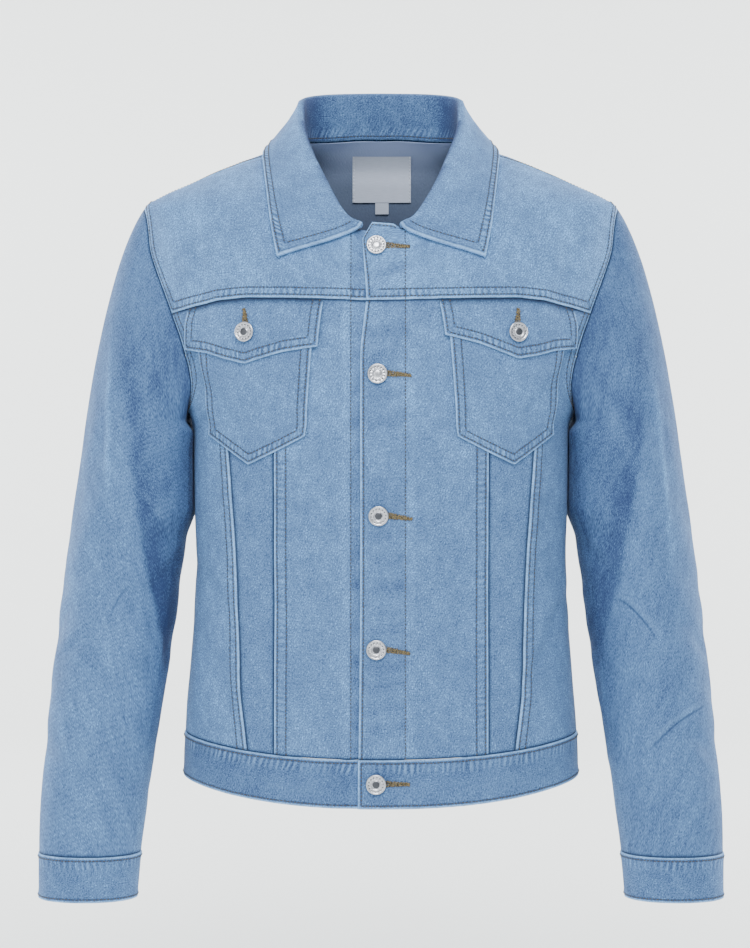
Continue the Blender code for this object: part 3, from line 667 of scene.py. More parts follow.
# %% Ways to sew an edge: rise and width of the folded strip, and the rows of stitches
FAR = 40.0
FOLD_ROUND = 0.8
FIRST_ROW = 3.2
SECOND_ROW = 9.9
BROAD_ROW = 11.7
STYLES = {
    "lapped": {"rise": 0.8, "width": 10.6, "rows": (FIRST_ROW, SECOND_ROW), "reach": 11.4},
    "broad": {"rise": 0.8, "width": 12.4, "rows": (FIRST_ROW, BROAD_ROW), "reach": 13.2},
    "turned": {"rise": 0.6, "width": 11.0, "rows": (FIRST_ROW, SECOND_ROW), "reach": 11.4},
    "rolled": {"rise": 0.8, "width": 9.0, "rows": (SECOND_ROW,), "reach": 4.7},
    "edge": {"rise": 0.35, "width": 4.6, "rows": (FIRST_ROW,), "reach": 4.7},
    "band": {"rise": 0.4, "width": 4.6, "rows": (FIRST_ROW,), "reach": 4.7},
    "gathered": {"rise": 0.4, "width": 4.6, "rows": (FIRST_ROW,), "reach": 15.0},
}

print("ways to sew an edge:", len(STYLES))

# %% How much paler or darker each piece is drawn beside the middle blue of the whole jacket: partly its wash, partly painted light and shade
PIECE_TONE = {"front_yoke_left": 0.11, "front_yoke_right": 0.09, "back_yoke": 0.12,
        "front_panel_left": -0.08, "front_panel_right": -0.05,
        "front_inset_left": -0.12, "front_inset_right": -0.12, "front_side_left": -0.06,
        "front_side_right": 0.03, "pocket_left": -0.01, "pocket_right": -0.02,
        "flap_left": -0.03, "flap_right": -0.03, "waistband": -0.26, "collar": -0.03,
        "sleeve_top_left": -0.2, "sleeve_top_right": -0.13, "sleeve_under_left": -0.15,
        "sleeve_under_right": -0.08, "cuff_left": -0.22, "cuff_right": -0.18}
print("palest:", max(PIECE_TONE, key=PIECE_TONE.get), "darkest:", min(PIECE_TONE, key=PIECE_TONE.get))

# %% A cut piece of cloth
# What each point of a piece knows, and the mesh keeps as attributes: its distance from the sewn
# edge and along it, how dark it is under a seam, from painted shadow and dye that stayed dark,
# how much it puckers and how far in, the last row of thread, its wash with painted light and
# shade, how wide the fold is worn, its distance from a sharp crease and that crease's strength,
# and the painted light and shade on the inside.
MEASURES = ("edge", "along", "shade", "crimp", "reach", "last_row", "tone", "worn", "crease",
            "creased", "faded")


class Cloth:
    """One cut piece: points on its outer face, and which way they face."""

    def __init__(self, name, grid, out, wall=CLOTH, step=STEP):
        both = regrid(regrid(np.concatenate([grid, out], axis=-1), 0, step), 1, step)
        self.name = name
        self.side = -1 if name.endswith("right") else 1
        self.grid = both[..., :3]
        self.out = unit(both[..., 3:])
        self.wall = wall
        self.rise = np.zeros(self.grid.shape[:2])
        self.form = self.rise.copy()
        for word in MEASURES:
            setattr(self, word, self.rise.copy())
        self.edge = self.rise + FAR
        self.crease = self.rise + FAR
        self.worn = self.rise + 1.0
        self.tone = self.rise + PIECE_TONE.get(name, 0.0)
        self.rows = []

    def away(self, side, where=True):
        """Distance from an edge along the grid lines that meet it, or from a part of the edge."""
        axis, way = SIDES[side]
        run = run_along(self.grid, axis)
        return np.where(where, run if way > 0 else np.take(run, [-1], axis=axis) - run, FAR)

    def sew(self, side, style, where=True, strength=1.0, crimp=0.6, worn=1.0):
        """Fold an edge in, and mark its rows of stitches and how much it puckers."""
        away = self.away(side, where)
        kind = STYLES[style]
        lift = kind["rise"] * (1 - smooth((away - kind["width"]) / 3.0))
        round_off = 1 - np.sqrt(1 - np.clip(1 - away / FOLD_ROUND, 0, 1) ** 2)
        self.rise = np.maximum(self.rise, lift * strength) - FOLD_ROUND * round_off
        axis = SIDES[side][0]
        noted = {"edge": away, "along": run_along(self.grid, 1 - axis), "crimp": crimp * strength,
                 "reach": kind["reach"], "last_row": kind["rows"][-1], "worn": worn}
        nearer = away < self.edge
        for word, value in noted.items():
            setattr(self, word, np.where(nearer, value, getattr(self, word)))
        self.rows += [(axis, away, distance, True) for distance in kind["rows"]]
        return self

    def tuck(self, side, where=True, depth=0.5, reach=1.9):
        """Let an edge go under its neighbour, and paint the shadow beside the neighbour's raised
        edge, where the dye has also stayed dark.
        """
        away = self.away(side, where)
        self.rise -= depth * (1 - smooth(away / 2.0))
        self.shade = np.maximum(self.shade, bell(away, 0, reach))
        return self

    def bend(self, distance, strength):
        """Mark a sharp crease, by distance from its line and by strength."""
        stronger = (strength > self.creased) & (np.abs(distance) < 14)
        self.crease = np.where(stronger, distance, self.crease)
        self.creased = np.where(stronger, strength, self.creased)

    def face(self):
        """The outer face with its relief."""
        return self.grid + self.out * (self.rise + self.form)[..., None]

    def back(self):
        """The inner face."""
        return self.grid + self.out * (self.form - self.wall)[..., None]


print("measures at each point:", len(MEASURES))


# %% [markdown]
# ## Creases
# Cloth that has been worn and washed keeps soft creases. Each is a trough with a lower ridge
# along one side. They are placed one by one, because regular ones look like corrugated card.

# %% Creases of the body, by x and height: angle in degrees, half length, half width, depth
CREASE = "across along angle length width depth"
FRONT_CREASES = table(CREASE,
                      (163, -445, 62, 34, 6.5, 1.5), (150, -478, 48, 26, 6, 1.1),
                      (-158, -415, -58, 40, 8, 1.2), (-150, -500, -70, 44, 9, 1.0),
                      (60, -330, 84, 70, 11, 0.8), (-62, -352, -82, 64, 12, 0.9),
                      (75, -455, 80, 70, 12, 0.8), (-80, -470, -78, 66, 11, 0.9),
                      (45, -520, 70, 36, 9, 0.7), (-48, -525, -66, 38, 8, 0.8),
                      (150, -232, 50, 30, 8, 1.2), (-152, -238, -54, 32, 8, 1.1),
                      (175, -200, 60, 30, 7, 1.0), (-176, -206, -60, 30, 7, 1.1),
                      (118, -92, -32, 48, 11, 1.0), (-120, -96, 30, 46, 11, 0.9),
                      (62, -118, -70, 24, 7, 0.6), (-66, -116, 66, 26, 7, 0.6),
                      (172, -118, 78, 40, 9, 1.2), (-170, -112, -80, 42, 9, 1.1))
BACK_CREASES = table(CREASE,
                     (120, -240, 70, 60, 11, 1.2), (-112, -262, -66, 56, 12, 1.3),
                     (60, -330, 84, 70, 13, 1.0), (-52, -372, -80, 80, 12, 0.9),
                     (140, -430, 58, 44, 9, 1.3), (-144, -408, -62, 48, 9, 1.2),
                     (25, -470, 70, 60, 12, 1.0), (-70, -500, -74, 44, 10, 1.0),
                     (100, -110, 24, 60, 11, 1.0), (-96, -106, -28, 58, 11, 1.0),
                     (20, -80, 6, 50, 10, 0.8), (165, -180, 72, 44, 9, 1.1),
                     (-168, -190, -72, 40, 9, 1.1), (0, -210, 86, 60, 13, 0.7))


BOW = 0.12            # how much a crease bends along its length


def line_up(across, along, creases):
    """Each crease's offsets along and beside it, then its half length, half width and depth."""
    for first, second, angle, length, width, depth in zip(*creases.values()):
        turn = math.radians(angle)
        dx, dz = across - first, along - second
        lengthwise = dx * math.cos(turn) + dz * math.sin(turn)
        yield lengthwise, dz * math.cos(turn) - dx * math.sin(turn), length, width, depth


def press(across, along, creases):
    """Sum of the creases' depth at places on flat or unrolled cloth."""
    total = np.zeros(np.broadcast(across, along).shape)
    for lengthwise, sideways, length, width, depth in line_up(across, along, creases):
        sideways = (sideways + BOW * lengthwise ** 2 / length) / width
        fade = bell(lengthwise, 0, length)
        trough = bell(sideways, 0, 1)
        ridge = 0.5 * bell(sideways, 1.7, 0.9)
        total -= depth * fade * (trough - ridge)
    return total


def ripple(a, b):
    """A low unevenness that no pressed cloth is free of."""
    waves = (np.sin(a / 17 + 1.3 * np.sin(b / 41)) * np.sin(b / 29 + 0.7)
             + 0.6 * np.sin(a / 9.5 + b / 23 + 2.1) * np.sin(b / 13.7 - a / 31))
    return 0.28 * waves


def crumple_body(cloth):
    """Crease a piece of the body, the same way for all that lies on it."""
    p = cloth.grid
    x = p[..., 0] * cloth.side
    front = press(x, p[..., 2], FRONT_CREASES)
    back = press(x, p[..., 2], BACK_CREASES)
    ahead = smooth((20 - p[..., 1]) / 40)
    pressed = 1.5 * (front * ahead + back * (1 - ahead))
    return (pressed + ripple(x, p[..., 2])) * clear_of_side(cloth)


print("creases of the front:", len(FRONT_CREASES["depth"]))


# %% Wavy seams
WAVE_HEIGHT = 0.22


def waver(cloth):
    """Long low waves along a sewn edge, where the thread has drawn the cloth up."""
    a = cloth.along + 13.0 * len(cloth.name)
    wave = np.sin(a / 5.3 + 1.5 * np.sin(a / 19.0)) * (0.6 + 0.4 * np.sin(a / 31.0 + 1))
    return WAVE_HEIGHT * wave * bell(cloth.edge, 6.0, 6.0) * (cloth.crimp > 0)


print("seams waver by", WAVE_HEIGHT, "mm")


# %% [markdown]
# ## Panels
# A jacket is cut flat, and its panels only take the body's form when they are sewn. They could
# be draped by a cloth simulation, which is slow and seldom lands on the seams that were drawn.
# Here each panel is the patch between its four seams, laid straight on the body's form.

# %% Fronts
def shift_under(points, under):
    """Lower the hidden part of the right front under the left front."""
    if not under:
        return points
    start, end = LAP_X
    depth = LAP * (1 - smooth((points[..., 0] - start) / (end - start)))
    return points - facing(points) * depth[..., None]


def toward_ring(out, ring, away):
    """Turn the facing of a body panel into the armhole ring's near the armhole."""
    near = bell(away, 0, 7.0)[..., None]
    return unit(out * (1 - near) + ring * near)


def front_yoke(side):
    """Chest yoke, from the chest seam up to the neck and shoulder."""
    under = side < 0
    k = lines(YOKE_STOP - LOOP_GAP, (TIP_GAP, YOKE_STOP))
    right = armhole(k)
    collar_edge = neck(lines(0, (SHOULDER_ROW - NECK_GAP, 7)))
    shoulder = unwrap(between(wrap(collar_edge[-1]), wrap(right[-1]), 6))
    start = YOKE_HEAD_UNDER if under else YOKE_HEAD
    at = lines(0, (3, 3))
    head_x = np.interp(at, range(4), [*start["x"], collar_edge[0, 0]])
    head_z = np.interp(at, range(4), [*start["z"], collar_edge[0, 2]])
    head = settle(body(on_front(head_x, head_z)))
    top = np.concatenate([head[:-1], collar_edge, shoulder[1:]])
    edge_z = lines(chest_seam(0) + HALF_GAP, (head[0, 2], YOKE_STOP))
    edge_x = front_edge(edge_z, under)
    left = settle(body(on_front(edge_x, edge_z)))
    left[-1] = head[0]
    low_x = lines(edge_x[0], (6, 2), (LAP_X[0], 1), (LAP_X[1], 2), (78, 5), (INNER_SEAM_X, 1),
                  (125, 1), (152, 1), (right[0, 0], 3))
    bottom = body(on_front(low_x, chest_seam(np.maximum(low_x, 0)) + HALF_GAP))
    bottom[0] = left[0]
    bottom[-1] = right[0]
    grid = unwrap(patch(wrap(bottom), wrap(top), wrap(left), wrap(right)))
    out = facing(grid)
    run = run_along(grid, 0)
    out = toward_ring(out, armhole_facing(k)[None], run[-1:] - run)
    return shift_under(grid, under), out


print("right front lies", LAP, "mm under the left one")


# %% Strips below the chest seam
def front_strip(left_of, right_of, share, under=False):
    """Front panel between two upright seams, each given as x at a height."""
    share = share[:, None]
    rise = lines(0, (1, 16))[None, :]
    z = WAIST_Z + rise * (chest_seam(60) - WAIST_Z) + 0 * share
    for _ in range(8):
        x = left_of(z) * (1 - share) + right_of(z) * share
        low = waist_seam(on_front(x, WAIST_Z)[..., 0] / GIRTH) + HALF_GAP
        high = chest_seam(np.maximum(x, 0)) - HALF_GAP
        z = low + (high - low) * rise
    grid = body(on_front(x, z))
    return shift_under(grid, under), facing(grid)


def front_panel(side):
    """Centre front with the button edge."""
    under = side < 0
    x = lines(-UNDER_EDGE_X, (LAP_X[0], 2), (LAP_X[1], 1), (INNER_SEAM_X, 4))
    share = (x - x[0]) / (x[-1] - x[0])
    return front_strip(lambda z: front_edge(z, under),
                       lambda z: INNER_SEAM_X - HALF_GAP + 0 * z, share, under)


def front_inset():
    """Narrow strip between the two upright seams."""
    return front_strip(lambda z: INNER_SEAM_X + HALF_GAP + 0 * z,
                       lambda z: outer_seam(z) - HALF_GAP, lines(0, (1, 2)))


print("inner seam", INNER_SEAM_X, "mm from the middle")


# %% Sides
def side_panel(back):
    """Side of the front or the back, up to the armhole."""
    sign = -1 if back else 1
    k = sign * lines(LOOP - LOOP_GAP, (YOKE_STOP + LOOP_GAP, LOOP - YOKE_STOP))
    arm_places = place_of(armhole(k))
    side = GIRTH * math.pi / 2 - sign * 0.02
    low_z = WAIST_Z + HALF_GAP
    side_z = lines(low_z, (arm_places[0, 1], 11))[:-1]
    right = np.concatenate([np.stack([side + 0 * side_z, side_z], axis=-1), arm_places])
    rise = fractions(right, right)
    line = BACK_SEAM_LINE if back else OUTER_SEAM
    convert = on_back if back else on_front
    high_z = arm_places[-1, 1]
    seam_top_x = read(line, high_z) + HALF_GAP
    foot = convert(read(line, low_z) + HALF_GAP, low_z)
    if back:
        high_z = back_seam_height(seam_top_x) - HALF_GAP
    else:
        high_z = chest_seam(seam_top_x) - HALF_GAP
        foot[1] = waist_seam(foot[0] / GIRTH) + HALF_GAP
    left_z = foot[1] + (high_z - foot[1]) * rise
    left = convert(read(line, left_z) + HALF_GAP, left_z)
    top_x = lines(seam_top_x, (armhole(k[-1])[0], 5))
    top_z = (back_seam_height(top_x) if back else chest_seam(top_x)) - HALF_GAP
    top = convert(top_x, top_z)
    top[-1] = arm_places[-1]
    low_girth = lines(left[0, 0], (side, 5))
    bottom = np.stack([low_girth, waist_seam(low_girth / GIRTH) + HALF_GAP], axis=-1)
    grid = body(patch(bottom, top, left, right))
    ring = np.concatenate([facing(grid[-1, :len(side_z)]), armhole_facing(k)])
    run = run_along(grid, 0)
    return grid, toward_ring(facing(grid), ring[None], run[-1:] - run)


def meets_armhole(cloth):
    """Which part of a side's right edge lies on the armhole, and not on the side seam."""
    return (cloth.grid[-1, :, 2] > ARMPIT_Z)[None, :]


print("armpit at", ARMPIT_Z, "mm")


# %% Back yoke and panel
def back_yoke():
    """One piece across the back, from armhole to armhole and up to the neck."""
    k = -lines(YOKE_STOP - LOOP_GAP, (TIP_GAP, YOKE_STOP))
    left = armhole(k)
    neck_half = neck(lines(SHOULDER_ROW + NECK_GAP, (BACK_ROW, 6)))
    shoulder = unwrap(between(wrap(left[-1]), wrap(neck_half[0]), 6))
    top_half = np.concatenate([shoulder[:-1], neck_half])
    top = np.concatenate([top_half, mirror(top_half[-2::-1])])
    low_x = lines(left[0, 0], (NECK_FOOT_X, 6), (0, 6))
    low_x = np.concatenate([low_x, -low_x[-2::-1]])
    low_z = np.interp(np.abs(low_x), [0, left[0, 0]], [BACK_YOKE_Z + BACK_YOKE_ARCH, left[0, 2]])
    bottom = body(on_back(low_x, low_z + HALF_GAP))
    bottom[0] = left[0]
    bottom[-1] = mirror(left[0])
    grid = unwrap(patch(wrap(bottom), wrap(top), wrap(left), wrap(mirror(left))))
    run = run_along(grid, 0)
    ring = armhole_facing(k)
    out = toward_ring(facing(grid), ring[None], run)
    return grid, toward_ring(out, mirror(ring)[None], run[-1:] - run)


def back_panel():
    """Centre back, narrower at the waist."""
    share = lines(-1, (1, 10))[:, None]
    rise = lines(0, (1, 16))[None, :]
    low = WAIST_Z + HALF_GAP
    z = low + (BACK_YOKE_Z - low) * rise + 0 * share
    for _ in range(8):
        x = share * (read(BACK_SEAM_LINE, z) - HALF_GAP)
        high = back_seam_height(x) - HALF_GAP
        z = low + (high - low) * rise
    grid = body(on_back(x, z))
    return grid, facing(grid)


print("back yoke seam at", BACK_YOKE_Z, "mm")


# %% The band
def waistband():
    """One long band whose left end laps over its right end."""
    start = on_front(-21.5, WAIST_Z)[0] / GIRTH
    end = 2 * math.pi - on_front(-UNDER_EDGE_X, WAIST_Z)[0] / GIRTH
    angle = lines(start, (end, 52))[:, None]
    rise = lines(0, (1, 2))[None, :]
    low = HEM_Z - HEM_DIP * np.maximum(np.cos(angle), 0) ** 2
    high = waist_seam(angle) - HALF_GAP
    z = low + (high - low) * rise
    grid = body(np.stack([angle * GIRTH + 0 * z, z], axis=-1))
    lap_start, lap_end = np.radians(BAND_LAP_TURN)
    depth = BAND_LAP * smooth((angle + 0 * z - lap_start) / (lap_end - lap_start))
    out = facing(grid)
    return grid + out * (PROUD - depth)[..., None], out


print("hem at", HEM_Z, "mm, and", HEM_DIP, "mm lower in front")


# %% [markdown]
# ## The collar's section
# The collar stands up from the neck seam, turns over and falls outward. A sheet bent by hand
# would thin or kink at the fold, so each place round the neck gets the same section: a straight
# stand, a half circle, and a curve down to the leaf's edge. The sections are then joined.

# %% Shape of the collar
def collar():
    """Stand, fold and leaf in one folded wall, from end to end."""
    rows = lines(0, (SHOULDER_ROW, 7), (BACK_ROW, 6))
    index = np.arange(BACK_ROW + 1.0)
    seam = neck(rows)
    run = unit(np.gradient(seam, axis=0))
    out = facing(seam)
    hole = unit(np.cross(out, run))
    centre = np.array([0, -10, 40])
    hole = hole * np.sign((hole * (centre - seam)).sum(axis=-1))[:, None]
    foot = seam + hole * (GAP + COLLAR_WALL / 2 + 0.5)
    fold = np.stack([curve(rows, index, COLLAR["fold_" + axis]) for axis in "xyz"], axis=-1)
    edge = np.stack([curve(rows, index, COLLAR["edge_" + axis]) for axis in "xyz"], axis=-1)
    edge = settle(edge)
    edge = edge + facing(edge) * LEAF_CLEAR
    half = np.array([collar_section(*ends) for ends in zip(foot, fold, edge, run, out)])
    whole = np.concatenate([half, mirror(half[-2::-1])])
    side = unit(np.cross(np.gradient(whole, axis=0), np.gradient(whole, axis=1)))
    spot = (SHOULDER_ROW * FINE, -2)
    side = side * np.sign((side[spot] * facing(whole[spot])).sum())
    return whole + side * COLLAR_WALL / 2, side


def collar_section(foot, fold, edge, run, out):
    """Middle line of the collar across one place: up, over the fold and down."""
    up = fold - foot
    height = np.linalg.norm(up)
    up = up / height
    away = np.cross(up, run)
    away = unit(away - up * (away @ up))
    away = away * np.sign(away @ out)
    radius = min(max(height * 0.28, 1.7), 3.2)
    turn = fold - up * radius + away * radius
    stand = [foot + (fold - up * radius - foot) * share for share in np.linspace(0, 1, 9)[:-1]]
    arc = []
    for angle in np.radians(np.linspace(0, 180, 11)):
        arc.append(turn - away * radius * math.cos(angle) + up * radius * math.sin(angle))
    start = arc[-1]
    length = np.linalg.norm(edge - start)
    first = unit((edge - start) / length - up * 0.9 + away * 0.25) * length * 0.8
    last = (edge - start) * 0.9
    leaf = []
    for t in np.linspace(0, 1, 25)[1:]:
        point = start + (edge - start) * smooth(t)
        leaf.append(point + first * t * (1 - t) ** 2 + last * t * t * (t - 1))
    return np.array(stand + arc + clear(leaf, LEAF_CLEAR))


def clear(points, margin):
    """Push points out until they clear the body by the margin."""
    p = np.array(points)
    for _ in range(4):
        g = gradient(p)
        size = np.linalg.norm(g, axis=-1)
        short = np.maximum(margin - outside(p) / size, 0)
        p = p + g / size[:, None] * short[:, None]
    return list(p)


# %% [markdown]
# ## Sleeves
# A sleeve is a tube that starts square on the armhole, turns down over the upper arm and then
# tapers to the cuff. Each grid line is one smooth curve down the arm, so the sleeve head swells
# and settles as set-in sleeves do.

# %% Sleeves
ARM_POWER = 0.95      # at 1, a ring of the sleeve would be an ellipse


def arm_folds(z, phi):
    """How far the broad folds press the sleeve in."""
    total = 0
    for at, turn, slant, width, length, depth in zip(*ARM_FOLDS.values()):
        away = np.angle(np.exp(1j * (phi - math.radians(turn)))) * 50
        across = (z - at) - slant * away
        total = total - depth * np.exp(-(across / width) ** 2 - (away / length) ** 2)
    return total


def arm_ring(z, k):
    """Point on the sleeve's ring at a height, at loop position k."""
    z, k = np.broadcast_arrays(np.asarray(z, float), np.asarray(k, float))
    middle_x, middle_y, half, depth = (curve(z, ARM["z"][::-1], ARM[name][::-1])
                                       for name in ("x", "y", "half", "depth"))
    phi = k * math.pi / LOOP
    swell = arm_folds(z, phi)
    x = middle_x + (half + swell) * power(np.cos(phi), ARM_POWER)
    y = middle_y - (depth + swell) * power(np.sin(phi), ARM_POWER)
    return np.stack([x, y, z], axis=-1)


def sleeve_rows(k):
    """Sleeve surface from the armhole to the cuff seam, a row for each ring."""
    k = np.asarray(k, float)
    loop_k = (k + LOOP) % (2 * LOOP) - LOOP
    start = armhole(loop_k) + AXES[0] * GAP
    first = arm_ring(ARM_TOP_Z, k)
    chord = first - start
    length = np.linalg.norm(chord, axis=-1, keepdims=True)
    flare = CAP_FLARE * np.cos(loop_k * math.pi / LOOP / 2) ** 2
    leave = unit(chord / length + flare[:, None] * AXES[0]) * length * CAP_PULL
    arrive = unit(np.array([0.12, 0, -1])) * length * 0.8
    rings = []
    for t in lines(0, (1, 7))[:-1]:
        rings.append(start + chord * smooth(t)
                     + leave * t * (1 - t) ** 2 + arrive * t * t * (t - 1))
    for z in lines(ARM_TOP_Z, (CUFF_SEAM_Z + HALF_GAP, 18)):
        rings.append(arm_ring(z, k))
    return np.stack(rings, axis=1)


print("sleeve from", ARM_TOP_Z, "to", CUFF_SEAM_Z, "mm")


# %% Sleeve pieces and cuffs
SIDE_MARGIN = 0.9


def rest_on_side(grid):
    """Let the inside of the upper arm lie against the body, a hair away from it."""
    x, y, z = grid[..., 0], grid[..., 1], grid[..., 2]
    share = np.clip(np.abs(y / half_depth(z, y < 0)), 0, 1)
    side = half_width(z) * (1 - share ** ROUND) ** (1 / ROUND) + SIDE_MARGIN
    middle = np.interp(z, ARM["z"][::-1], ARM["x"][::-1])
    inner = smooth((middle - x) / 40) * smooth((-252 - z) / 14) * smooth((z + 368) / 34)
    x = np.where(x > side, np.maximum(x - 9 * inner, side * inner + x * (1 - inner)), x)
    return np.stack([x, y, z], axis=-1)


def sleeve_piece(k):
    """One sleeve piece between two loop positions."""
    grid = rest_on_side(sleeve_rows(k))
    taper = np.linspace(SLEEVE_GAP, CUFF_GAP, grid.shape[1])[:, None]
    around = sleeve_rows(k + 0.1) - sleeve_rows(k - 0.1)
    out = unit(np.cross(around, np.gradient(grid, axis=1)))
    spot = (len(k) // 2, grid.shape[1] // 2)
    flat = (grid[spot] - np.array([240.0, 0, 0])) * np.array([1, 1, 0])
    out = out * np.sign(out[spot] @ flat)
    grid[0] = grid[0] + around[0] / 0.2 * taper
    grid[-1] = grid[-1] - around[-1] / 0.2 * taper
    loop_k = (k + LOOP) % (2 * LOOP) - LOOP
    out[:, 0] = out[:, 1]
    return grid, toward_ring(out, armhole_facing(loop_k)[:, None], run_along(grid, 1))


def cuff():
    """Closed band below the sleeve, its ends 0.3 mm apart at the back seam."""
    k = lines(BACK_SEAM + CUFF_GAP, (BACK_SEAM + 2 * LOOP - CUFF_GAP, 2 * LOOP))
    rings = lines(CUFF_SEAM_Z - HALF_GAP, (CUFF_END_Z, 2))
    grid = np.stack([arm_ring(z, k) for z in rings], axis=1)
    ahead = np.stack([arm_ring(z, k + 0.1) for z in rings], axis=1)
    behind = np.stack([arm_ring(z, k - 0.1) for z in rings], axis=1)
    out = unit(np.cross(ahead - behind, np.gradient(grid, axis=1)))
    out = out * np.sign(out[7 * FINE, 1, 0])
    return grid + out * PROUD, out


print("cuff down to", CUFF_END_Z, "mm")


# %% [markdown]
# ## Creases of the sleeves
# The sleeves carry the deepest creases. A long soft fold runs down the front of each one, with
# its inner side in painted shade. Sharp creases cross the elbow, and soft pale and dark strokes lie
# near the armhole. Some of this is form, and some is painted light and shade in the cloth's colour:
# the shade beside the long fold and under the armhole, the dark lines and lit banks of the sharp
# creases, and a highlight along a pressed ridge.

# %% Creases of the sleeves, for the left one (1) and the right one (-1)
# The long fold: height, x, and how dark the painted shade on its inner side is.
SLEEVE_FOLD = {
    1: table("z x dark", (-640, 205, 0), (-520, 205, 0.10), (-458, 212, 0.26), (-410, 223, 0.36),
             (-343, 235, 0.34), (-272, 247, 0.28), (-215, 252, 0.16), (-150, 250, 0)),
    -1: table("z x dark", (-640, 198, 0.1), (-560, 201, 0.28), (-519, 205, 0.36),
              (-459, 208, 0.46), (-392, 221, 0.46), (-347, 228, 0.38), (-293, 235, 0.32),
              (-242, 237, 0.24), (-197, 250, 0.14), (-150, 252, 0))}
FOLD_STEP = 2.4
# Sharp creases on the front, by x and height.
FRONT_OF_SLEEVE = {
    1: table(CREASE, (243, -438, -46, 24, 3.8, 1.6), (279, -541, 36, 32, 4.6, 1.6),
             (228, -300, 60, 30, 7, 0.9), (215, -395, 52, 24, 5, 0.9),
             (262, -400, 80, 50, 8, 0.5), (238, -600, 24, 26, 5, 0.8)),
    -1: table(CREASE, (248, -423, -57, 15, 3.6, 1.1), (268, -470, 14, 22, 5, 0.8),
              (216, -340, 56, 30, 6, 1.0), (240, -500, 40, 30, 6, 0.8),
              (262, -560, -30, 32, 6, 0.9), (250, -620, 20, 26, 5, 0.8))}
SHARP = 1.4           # a crease of this depth or more shows as a line
# A painted highlight along a pressed ridge: x and height of its middle, half length, and lean.
PRESSED_HIGHLIGHT = {1: (267, -295, 90, 0.105), -1: (258, -250, 78, 0.0)}
PRESSED_HIGHLIGHT_WIDTH = 2.8
# Soft pale and dark strokes near the armhole, by x and height, with how pale in place of the depth.
STROKES = {
    1: table(CREASE, (222, -262, -62, 30, 7, 0.14), (238, -300, -66, 34, 6, 0.12),
             (214, -318, -60, 26, 6, -0.14), (226, -352, -64, 30, 7, 0.13),
             (207, -378, -60, 24, 5, 0.1), (218, -228, -50, 24, 7, -0.16),
             (240, -212, -56, 26, 6, 0.12), (208, -410, -70, 28, 6, -0.1),
             (262, -480, 70, 44, 9, 0.08), (290, -600, 80, 40, 9, 0.07),
             (246, -640, 60, 30, 8, -0.08)),
    -1: table(CREASE, (214, -222, -58, 26, 7, -0.18), (232, -262, -62, 30, 7, 0.14),
              (220, -292, -56, 34, 6, 0.14), (206, -318, -54, 26, 6, -0.14),
              (212, -345, -56, 32, 7, 0.12), (196, -372, -52, 24, 6, 0.1),
              (203, -400, -60, 26, 6, -0.12), (240, -198, -60, 26, 7, -0.1),
              (262, -470, 74, 44, 9, 0.08), (282, -560, 82, 44, 9, 0.08),
              (232, -600, -56, 30, 8, -0.08))}
# Soft creases all round the arm, by arc and height.
SLEEVE_CREASES = {
    1: table(CREASE,
              (58, -548, 32, 42, 6, 1.7), (66, -572, 24, 30, 5, 1.1), (40, -455, 40, 40, 7, 1.5),
              (30, -470, 30, 34, 5, 0.9), (92, -430, -34, 46, 8, 1.6),
              (14, -520, 46, 30, 6, 1.0), (75, -338, 58, 60, 10, 1.5),
              (24, -352, 66, 46, 8, 1.0), (110, -500, -40, 36, 7, 1.6),
              (84, -612, 30, 34, 6, 1.2), (36, -618, -22, 28, 6, 1.0),
              (62, -250, 74, 60, 9, 1.2), (-60, -400, 36, 50, 8, 1.8),
              (-92, -440, -30, 44, 8, 1.8), (-40, -470, 28, 40, 6, 1.2),
              (-75, -520, 24, 50, 8, 1.8), (-100, -590, -20, 40, 7, 1.4),
              (-30, -560, 40, 36, 6, 1.0), (-70, -300, 60, 60, 10, 1.2),
              (5, -410, -50, 34, 7, 1.0), (130, -380, 40, 40, 8, 1.4)),
    -1: table(CREASE,
              (56, -462, 36, 46, 7, 1.5), (30, -440, 50, 32, 6, 0.9), (84, -500, 26, 40, 7, 1.5),
              (62, -540, 34, 30, 5, 1.0), (38, -580, -24, 36, 6, 1.1),
              (95, -420, -36, 46, 8, 1.4), (70, -350, 62, 56, 10, 1.5),
              (28, -330, 68, 48, 9, 1.0), (105, -560, -30, 40, 7, 1.3),
              (80, -625, 26, 36, 6, 1.1), (20, -505, 40, 30, 6, 0.9), (58, -262, 76, 60, 9, 1.1),
              (-64, -412, 34, 50, 8, 1.7), (-90, -462, -28, 46, 8, 1.8),
              (-44, -500, 30, 40, 6, 1.1), (-78, -552, 26, 46, 8, 1.6),
              (-96, -612, -24, 40, 7, 1.2), (-66, -318, 60, 60, 10, 1.2),
              (8, -395, -46, 34, 7, 0.9), (128, -398, 42, 40, 8, 1.3))}
ARC_SHARE = 0.42      # the arm's mean radius, as a share of the body's
ARC_SEAM = 150        # past this arc the creases are counted from the other way round
ARC_ROUND = 264
print("creases of the left sleeve:", len(SLEEVE_CREASES[1]["depth"]))


